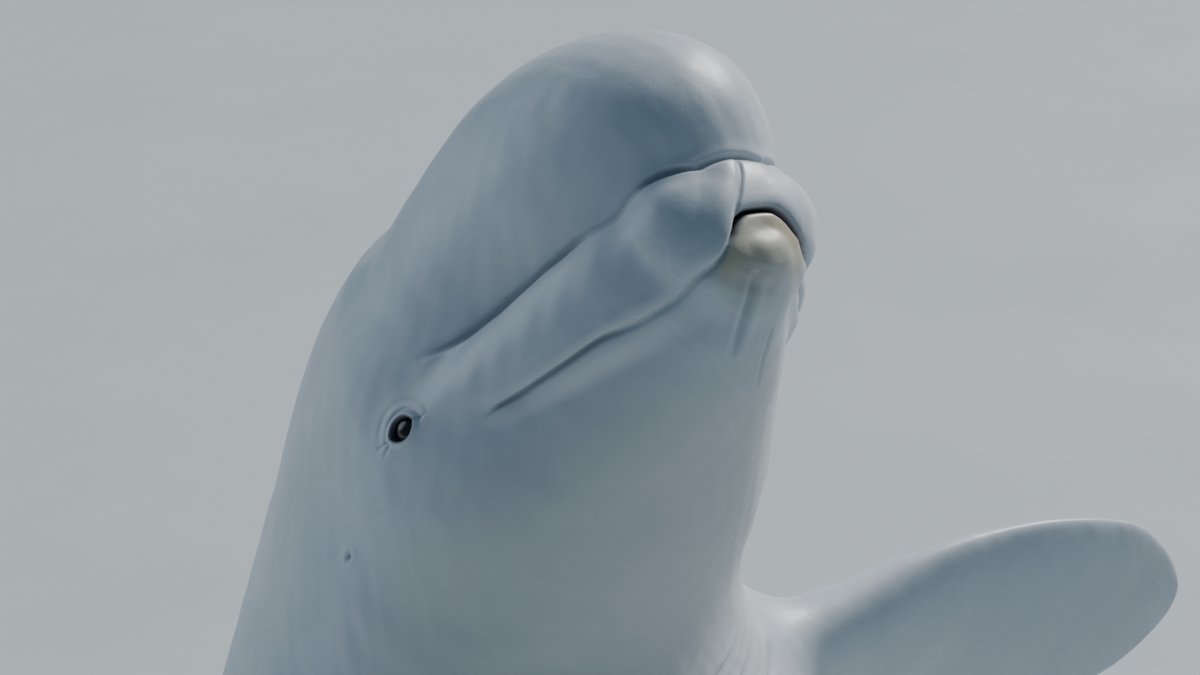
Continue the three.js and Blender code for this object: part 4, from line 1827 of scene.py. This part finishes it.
@dataclass(frozen=True)
class BasePlate:
    """The flat base, a rounded plate with a shadow gap under it and a fine groove on top."""

    half_width: float = 0.560
    half_length: float = 0.900
    corner: float = 0.300
    height: float = 0.045
    corner_steps: int = 28
    edge_radius: float = 0.008
    edge_angles: tuple[float, float, int] = (1.45, 0.1, 5)
    crisp: float = 35

    def outline(self, inset: float) -> Array:
        """The rounded outline, moved in from the edge.

        Args:
            inset: how far in.

        Returns:
            Places round it.
        """
        radius = self.corner - inset
        places = []
        for quarter, (sx, sy) in enumerate(((1, -1), (1, 1), (-1, 1), (-1, -1))):
            x, y = sx * (self.half_width - self.corner), sy * (self.half_length - self.corner)
            for i in range(self.corner_steps + 1):
                a = math.radians(90 * (quarter - 1 + i / self.corner_steps))
                places.append((x + radius * math.cos(a), y + radius * math.sin(a)))
        return np.array(places)

    def profile(self) -> list[Span]:
        """Insets and heights from the underside over the rounded edge to the top.

        Returns:
            The outline.
        """
        top, edge = self.height, self.edge_radius
        angles = np.linspace(*self.edge_angles)
        arc = [(edge * (1 - math.sin(a)), top - edge * (1 - math.cos(a))) for a in angles]
        gap = [(0.014, 0.0), (0.012, 0.0005), (0.012, 0.0060), (0.002, 0.0062), (0.0, 0.0080)]
        groove = [(0.045, top), (0.0455, top - 0.0012), (0.0475, top - 0.0012), (0.048, top)]
        return [*gap, (0.0, top - edge), *arc, (edge, top), *groove, (0.080, top)]

    def build(self, finish: Finish) -> Object:
        """Makes the base.

        Args:
            finish: its finish.

        Returns:
            The object.
        """
        rings = [(self.outline(inset), z) for inset, z in self.profile()]
        count = len(rings[0][0])
        points = [np.column_stack([ring, np.full(count, z)]) for ring, z in rings]
        faces = [corners[:, ::-1] for corners in closed_grid_faces(len(rings), count)]
        ends = [(0, 0, 0), (0, 0, self.height)]
        base = make_object("stand_base_plate", np.vstack([*points, ends]), *faces, crisp=self.crisp)
        return dress(base, finish, Slot.PAINT, "stand_base")


# Shader graphs


class Effect(Enum):
    """The shader effects that several materials share."""

    GRAIN = "fine_grain"
    MOTTLE = "soft_mottle"


class Graph:
    """Adds and links nodes in one node tree."""

    def __init__(self, tree: bpy.types.NodeTree) -> None:
        """Keeps the tree."""
        self.tree = tree

    def feed(self, node: Node, sources: dict[str | int, object]) -> None:
        """Links a node's inputs to outputs, or sets their values.

        Args:
            node: the node.
            sources: an output or a value for each input, by name or number; None leaves it as it is.
        """
        for key, source in sources.items():
            if isinstance(source, Socket):
                self.tree.links.new(source, node.inputs[key])
            elif source is not None:
                node.inputs[key].default_value = source

    def node(self, kind: str, sources: dict[str | int, object] | None = None, **settings: object) -> Node:
        """Adds a node.

        Args:
            kind: Blender's name of it.
            sources: what its inputs get.
            settings: its own settings.

        Returns:
            The node.
        """
        made = self.tree.nodes.new(kind)
        for name, value in settings.items():
            setattr(made, name, value)
        self.feed(made, sources or {})
        return made

    def attribute(self, name: str, output: str = "Fac") -> Socket:
        """Reads an attribute of the mesh: Fac for a number, Vector for a place."""
        return self.node("ShaderNodeAttribute", attribute_name=name).outputs[output]

    def places(self) -> Socket:
        """The object's own coordinates."""
        return self.node("ShaderNodeTexCoord").outputs["Object"]

    def scaled(self, places: Socket, scale: Point) -> Socket:
        """Places multiplied by a scale for each axis."""
        return self.node("ShaderNodeMapping", {"Vector": places, "Scale": scale}).outputs[0]

    def math(self, operation: str, first: Socket, second: Socket | float = 0.0) -> Socket:
        """The result of a math node."""
        return self.node("ShaderNodeMath", {0: first, 1: second}, operation=operation).outputs[0]

    def times(self, first: Socket, second: Socket | float) -> Socket:
        """The product of two values."""
        return self.math("MULTIPLY", first, second)

    def length(self, x: Socket, y: Socket) -> Socket:
        """The length of a step of x and y."""
        return self.math("SQRT", self.math("ADD", self.times(x, x), self.times(y, y)))

    def noise(self, places: Socket, scale: Socket | float, detail: float, roughness: float = 0.5) -> Socket:
        """The value of a noise texture."""
        sources = {"Vector": places, "Scale": scale, "Detail": detail, "Roughness": roughness}
        return self.node("ShaderNodeTexNoise", sources).outputs["Fac"]

    def spread(self, value: Socket, low: float, high: float, *ends: float) -> Socket:
        """Stretches a range of values smoothly to 0 and 1, or to the two ends given."""
        sources = dict(enumerate((value, low, high, *(ends or (0.0, 1.0)))))
        return self.node("ShaderNodeMapRange", sources, interpolation_type="SMOOTHSTEP").outputs[0]

    def mix(self, share: Socket, first: object, second: object) -> Socket:
        """Mixes a share of the second colour into the first."""
        sources = {"Factor": share, 6: first, 7: second}
        return self.node("ShaderNodeMix", sources, data_type="RGBA").outputs[2]

    def bump(self, height: Socket, distance: float, strength: float, under: Socket | None = None) -> Socket:
        """The normal of a bump, over another normal where one is given."""
        sources = {"Height": height, "Distance": distance, "Strength": strength, "Normal": under}
        return self.node("ShaderNodeBump", sources).outputs[0]

    def effect(self, kind: Effect, places: Socket, scale: float) -> Sequence[Socket]:
        """The outputs of a shared effect: Tone, and for the grain also Height."""
        sources = {"Place": places, "Scale": scale}
        return self.node("ShaderNodeGroup", sources, node_tree=effect_group(kind)).outputs


def effect_group(kind: Effect) -> bpy.types.NodeTree:
    """Gives a shared effect, which is built the first time.

    Args:
        kind: which one.

    Returns:
        Its node group.
    """
    found = bpy.data.node_groups.get(kind.value)
    if found:
        return found
    grainy = kind is Effect.GRAIN
    tree = bpy.data.node_groups.new(kind.value, "ShaderNodeTree")
    tree.interface.new_socket("Place", in_out="INPUT", socket_type="NodeSocketVector")
    tree.interface.new_socket("Scale", in_out="INPUT", socket_type="NodeSocketFloat")
    for name in ("Height", "Tone") if grainy else ("Tone",):
        tree.interface.new_socket(name, in_out="OUTPUT", socket_type="NodeSocketFloat")
    graph = Graph(tree)
    entry, leave = graph.node("NodeGroupInput"), graph.node("NodeGroupOutput")
    places, scale = entry.outputs["Place"], entry.outputs["Scale"]
    if grainy:
        sources = {"Vector": places, "Scale": scale}
        cells = graph.node("ShaderNodeTexVoronoi", sources, feature="SMOOTH_F1").outputs["Distance"]
        fine = graph.noise(places, graph.times(scale, 0.45), 3.0)
        graph.feed(leave, {"Height": graph.math("ADD", graph.times(cells, 0.5), fine)})
    tone = graph.noise(places, graph.times(scale, 0.2 if grainy else 1.0), 4.0, 0.6)
    graph.feed(leave, {"Tone": graph.spread(tone, 0.3, 0.7)})
    return tree


# Finishes


class Finish:
    """A finish, whose material is built the first time that a piece asks for it."""

    name: ClassVar[str]

    def material(self) -> Material:
        """Gives the material.

        Returns:
            The material.
        """
        made = bpy.data.materials.get(self.name)
        if made is None:
            made = bpy.data.materials.new(self.name)
            made.use_nodes = True
            graph = Graph(made.node_tree)
            graph.feed(made.node_tree.nodes["Principled BSDF"], self.inputs(graph))
        return made

    def inputs(self, graph: Graph) -> dict[str, object]:
        """What the Principled shader's inputs get; each finish has its own."""
        raise NotImplementedError


@dataclass(frozen=True)
class SkinFinish(Finish):
    """Pale, smooth, moist skin with faint mottling, creamy at the tip of the jaw, with painted shade in its
    creases, pits and openings.
    """

    name: ClassVar[str] = "beluga_skin"
    pale: Colour = (0.640, 0.690, 0.735, 1)
    cool: Colour = (0.520, 0.585, 0.650, 1)
    warm: Colour = (0.630, 0.640, 0.620, 1)
    cream: Colour = (0.520, 0.470, 0.330, 1)
    # painted shade for the creases, folds and pits
    crease: Colour = (0.200, 0.225, 0.260, 1)
    # the pinkish inside of the mouth slit and the blowhole, darkened with painted shade
    inner: Colour = (0.050, 0.012, 0.012, 1)
    # the lid margin's darker colour, with painted shade in the sunken eye opening
    lid_margin_and_shade: Colour = (0.100, 0.100, 0.110, 1)
    edge: Colour = (0.300, 0.320, 0.340, 1)
    scar: Colour = (0.740, 0.760, 0.780, 1)
    roughness: Span = (0.36, 0.50)

    def inputs(self, graph: Graph) -> dict[str, object]:
        """Lays the colours over each other: the mottling first, then the painted shade of creases and eye
        openings, and last the mouth's inside, darkened with painted shade.

        Args:
            graph: the material's graph.

        Returns:
            What the shader's inputs get.
        """
        rest = graph.attribute("rest", "Vector")
        broad = graph.effect(Effect.MOTTLE, rest, 2.6)["Tone"]
        patch = graph.effect(Effect.MOTTLE, rest, 17.0)["Tone"]
        grain = graph.effect(Effect.GRAIN, rest, 420.0)
        masks = {name: graph.attribute(name) for name in ("warm", "edge", "cream", "crease", "lid_margin_and_shade", "inner")}
        layers = (
            (graph.times(broad, 0.55), self.cool),
            (graph.times(patch, 0.16), self.cool),
            (graph.times(grain["Tone"], 0.06), self.edge),
            (graph.times(masks["warm"], 0.65), self.warm),
            (self._scratches(graph, rest), self.scar),
            (graph.times(masks["edge"], 0.8), self.edge),
            (graph.times(masks["cream"], graph.spread(patch, 0, 1, 1.0, 0.7)), self.cream),
            # painted shade: in creases and pits, on the lid margin, and inside the mouth and blowhole
            (graph.times(masks["crease"], 0.6), self.crease),
            (masks["lid_margin_and_shade"], self.lid_margin_and_shade),
            (masks["inner"], self.inner),
        )
        colour = self.pale
        for share, over in layers:
            colour = graph.mix(share, colour, over)
        wrinkles = graph.noise(graph.scaled(rest, (0.4, 1.0, 1.0)), 90.0, 3.0)
        return {
            "Base Color": colour,
            "Roughness": graph.spread(patch, 0, 1, *self.roughness),
            "Normal": graph.bump(grain["Height"], 0.00018, 0.5, graph.bump(wrinkles, 0.0007, 0.45)),
            "Subsurface Weight": 0.12,
            "Subsurface Radius": (0.9, 0.6, 0.5),
            "Subsurface Scale": 0.010,
            "Coat Weight": 0.10,
            "Coat Roughness": 0.28,
        }

    def _scratches(self, graph: Graph, rest: Socket) -> Socket:
        """Faint healed scratches in scattered patches.

        Args:
            graph: the material's graph.
            rest: the straight whale's coordinates.

        Returns:
            How strongly they show.
        """
        sources = {"Vector": rest, "Scale": 9.0, "Distortion": 9.0, "Detail": 2.0}
        wave = graph.node("ShaderNodeTexWave", sources, wave_type="BANDS", bands_direction="DIAGONAL")
        thin = graph.spread(wave.outputs["Fac"], 0.985, 1.0)
        scattered = graph.spread(graph.noise(rest, 3.5, 1.0), 0.56, 0.66)
        return graph.times(graph.times(thin, scattered), 0.28)


@dataclass(frozen=True)
class EyeFinish(Finish):
    """A wet, very dark brown eye with an oblong pupil and a dim white."""

    name: ClassVar[str] = "beluga_eye"
    iris: Colour = (0.016, 0.010, 0.008, 1)
    rim: Colour = (0.006, 0.005, 0.005, 1)
    pupil: Colour = (0.001, 0.001, 0.001, 1)
    white: Colour = (0.022, 0.016, 0.015, 1)
    pupil_share: float = 0.62
    pupil_edge: Span = (0.17, 0.20)
    iris_edge: Span = (0.50, 0.60)
    rim_edge: Span = (0.64, 0.72)

    def inputs(self, graph: Graph) -> dict[str, object]:
        """Paints rings round the front of the ball, read in radii.

        Args:
            graph: the material's graph.

        Returns:
            What the shader's inputs get.
        """
        ball = graph.attribute("ball", "Vector")
        x, y, _ = graph.node("ShaderNodeSeparateXYZ", {0: ball}).outputs
        oblong = graph.length(graph.times(x, self.pupil_share), y)
        away = graph.length(x, y)
        streaks = graph.effect(Effect.GRAIN, ball, 16.0)
        iris = graph.mix(graph.times(streaks["Tone"], 0.5), self.iris, self.rim)
        colour = graph.mix(graph.spread(oblong, *self.pupil_edge), self.pupil, iris)
        colour = graph.mix(graph.spread(away, *self.iris_edge), colour, self.rim)
        colour = graph.mix(graph.spread(away, *self.rim_edge), colour, self.white)
        return {
            "Base Color": colour,
            "Normal": graph.bump(streaks["Height"], 0.00005, 0.3),
            "Roughness": 0.24,
            "Coat Weight": 0.35,
            "Coat Roughness": 0.08,
        }


@dataclass(frozen=True)
class SteelFinish(Finish):
    """Brushed steel, turned round an upright axis."""

    name: ClassVar[str] = "brushed_steel"
    colour: Colour = (0.560, 0.570, 0.580, 1)
    shade: Colour = (0.420, 0.430, 0.450, 1)

    def inputs(self, graph: Graph) -> dict[str, object]:
        """Draws fine rings and faint smudges.

        Args:
            graph: the material's graph.

        Returns:
            What the shader's inputs get.
        """
        places = graph.places()
        lines = graph.noise(graph.scaled(places, (3.0, 3.0, 900.0)), 1.0, 3.0, 0.6)
        smudge = graph.effect(Effect.MOTTLE, places, 9.0)["Tone"]
        rough = graph.math("ADD", graph.spread(smudge, 0, 1, 0.24, 0.38), graph.times(lines, 0.10))
        return {
            "Base Color": graph.mix(lines, self.colour, self.shade),
            "Roughness": rough,
            "Normal": graph.bump(lines, 0.00006, 0.4),
            "Metallic": 1.0,
        }


@dataclass(frozen=True)
class RubberFinish(Finish):
    """Matt black rubber."""

    name: ClassVar[str] = "matt_rubber"
    colour: Colour = (0.018, 0.018, 0.019, 1)
    worn: Colour = (0.045, 0.045, 0.046, 1)

    def inputs(self, graph: Graph) -> dict[str, object]:
        """Wears the rubber in fine grains.

        Args:
            graph: the material's graph.

        Returns:
            What the shader's inputs get.
        """
        grain = graph.effect(Effect.GRAIN, graph.places(), 700.0)
        return {
            "Base Color": graph.mix(grain["Tone"], self.colour, self.worn),
            "Roughness": graph.spread(grain["Tone"], 0, 1, 0.62, 0.78),
            "Normal": graph.bump(grain["Height"], 0.0001, 0.5),
        }


@dataclass(frozen=True)
class PaintFinish(Finish):
    """Satin powder coat with its fine orange-peel texture and a little dust."""

    name: ClassVar[str] = "powder_coat"
    colour: Colour = (0.055, 0.060, 0.066, 1)
    dust: Colour = (0.120, 0.120, 0.120, 1)

    def inputs(self, graph: Graph) -> dict[str, object]:
        """Dusts the paint in soft patches.

        Args:
            graph: the material's graph.

        Returns:
            What the shader's inputs get.
        """
        places = graph.places()
        grain = graph.effect(Effect.GRAIN, places, 480.0)
        dust = graph.effect(Effect.MOTTLE, places, 3.2)["Tone"]
        return {
            "Base Color": graph.mix(graph.times(dust, 0.35), self.colour, self.dust),
            "Roughness": graph.spread(dust, 0, 1, 0.42, 0.58),
            "Normal": graph.bump(grain["Height"], 0.00012, 0.6),
        }


@dataclass(frozen=True)
class FloorFinish(Finish):
    """A plain pale floor."""

    name: ClassVar[str] = "pale_floor"
    colour: Colour = (0.590, 0.640, 0.660, 1)
    shade: Colour = (0.560, 0.610, 0.630, 1)

    def inputs(self, graph: Graph) -> dict[str, object]:
        """Varies the floor a little.

        Args:
            graph: the material's graph.

        Returns:
            What the shader's inputs get.
        """
        tone = graph.effect(Effect.MOTTLE, graph.places(), 0.8)["Tone"]
        return {
            "Base Color": graph.mix(tone, self.colour, self.shade),
            "Roughness": graph.spread(tone, 0, 1, 0.65, 0.75),
        }


# Studio


@dataclass(frozen=True)
class SoftLight:
    """One soft light from far away, with its softness in degrees."""

    name: str
    away: Point
    strength: float
    softness: float
    colour: Point
    shown_at: ClassVar[float] = 6.0

    def build(self) -> None:
        """Hangs the light."""
        data = bpy.data.lights.new(self.name, "SUN")
        data.energy, data.angle, data.color = self.strength, math.radians(self.softness), self.colour
        lamp = bpy.data.objects.new(self.name, data)
        bpy.context.scene.collection.objects.link(lamp)
        direction = Vector(self.away).normalized()
        lamp.location = direction * self.shown_at
        lamp.rotation_mode = "QUATERNION"
        lamp.rotation_quaternion = direction.to_track_quat("Z", "Y")


@dataclass(frozen=True)
class Studio:
    """The floor, the lights and the camera, which looks past the snout at the photograph's angle."""

    snout: Point
    azimuth: float = -42.0
    elevation: float = 28.0
    view_angle: float = 30.0
    sensor_width: float = 36.0
    snout_right_of_view: float = 0.1257
    snout_above_view: float = 0.0888
    distance: float = 1.7364
    floor_size: float = 80.0
    sky: Colour = (0.36, 0.68, 1.0, 1)
    sky_strength: float = 0.155
    lights: tuple[SoftLight, ...] = (
        SoftLight("key_light", (0.92, 0.12, 0.66), 4.0, 18.0, (1.0, 0.98, 0.95)),
        SoftLight("back_light", (-0.40, 0.88, 0.34), 0.8, 50.0, (0.84, 0.93, 1.0)),
    )

    def build(self, finish: FloorFinish) -> None:
        """Sets up the studio.

        Args:
            finish: the floor's finish.
        """
        self._floor(finish)
        self._sky()
        for light in self.lights:
            light.build()
        self._camera()

    def _floor(self, finish: FloorFinish) -> None:
        """Lays the floor.

        Args:
            finish: its finish.
        """
        signs = np.array([(-1, -1, 0), (1, -1, 0), (1, 1, 0), (-1, 1, 0)])
        floor = make_object("studio_floor", signs * self.floor_size / 2, np.array([[0, 1, 2, 3]]))
        floor.data.materials.append(finish.material())

    def _sky(self) -> None:
        """Sets the soft light from all round."""
        world = bpy.data.worlds.new("studio_sky")
        world.use_nodes = True
        sources = {"Color": self.sky, "Strength": self.sky_strength}
        Graph(world.node_tree).feed(world.node_tree.nodes["Background"], sources)
        bpy.context.scene.world = world

    def _camera(self) -> None:
        """Sets the camera where the photograph was taken from."""
        a, e = math.radians(self.azimuth), math.radians(self.elevation)
        back = Vector((math.sin(a) * math.cos(e), -math.cos(a) * math.cos(e), math.sin(e)))
        right = Vector((math.cos(a), math.sin(a), 0))
        up = back.cross(right)
        data = bpy.data.cameras.new("camera")
        data.sensor_width = self.sensor_width
        data.lens = self.sensor_width / 2 / math.tan(math.radians(self.view_angle / 2))
        camera = bpy.data.objects.new("camera", data)
        bpy.context.scene.collection.objects.link(camera)
        aside = right * self.snout_right_of_view + up * self.snout_above_view
        place = Vector(self.snout) + back * self.distance - aside
        axes = Matrix((right, up, back)).transposed()
        camera.matrix_world = Matrix.Translation(place) @ axes.to_4x4()
        bpy.context.scene.camera = camera


def report(pieces: Sequence[Object]) -> None:
    """Logs each piece with the number of its faces."""
    for piece in pieces:
        log.info("%s: %d faces", piece.name, len(piece.data.polygons))


def main() -> None:
    """Loads the frame, builds every piece in order and logs the number of faces of each."""
    logging.basicConfig(level=logging.INFO, format="%(name)s: %(message)s")
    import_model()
    form, pose, features = WhaleForm(), SpinePose(), SkinFeatures()
    Studio(snout=pose.snout).build(FloorFinish())
    log.info("studio ready")
    report([Skin(form, pose, features).build(SkinFinish())])
    report([Eyeball(form, pose, features.eye).build(side, EyeFinish()) for side in Side])
    for rod in (Rod(2.300, "stand_rod_front"), Rod(3.080, "stand_rod_rear")):
        report(rod.build(form, pose, SteelFinish(), RubberFinish()))
    report([BasePlate().build(PaintFinish())])


if __name__ == "__main__":
    main()
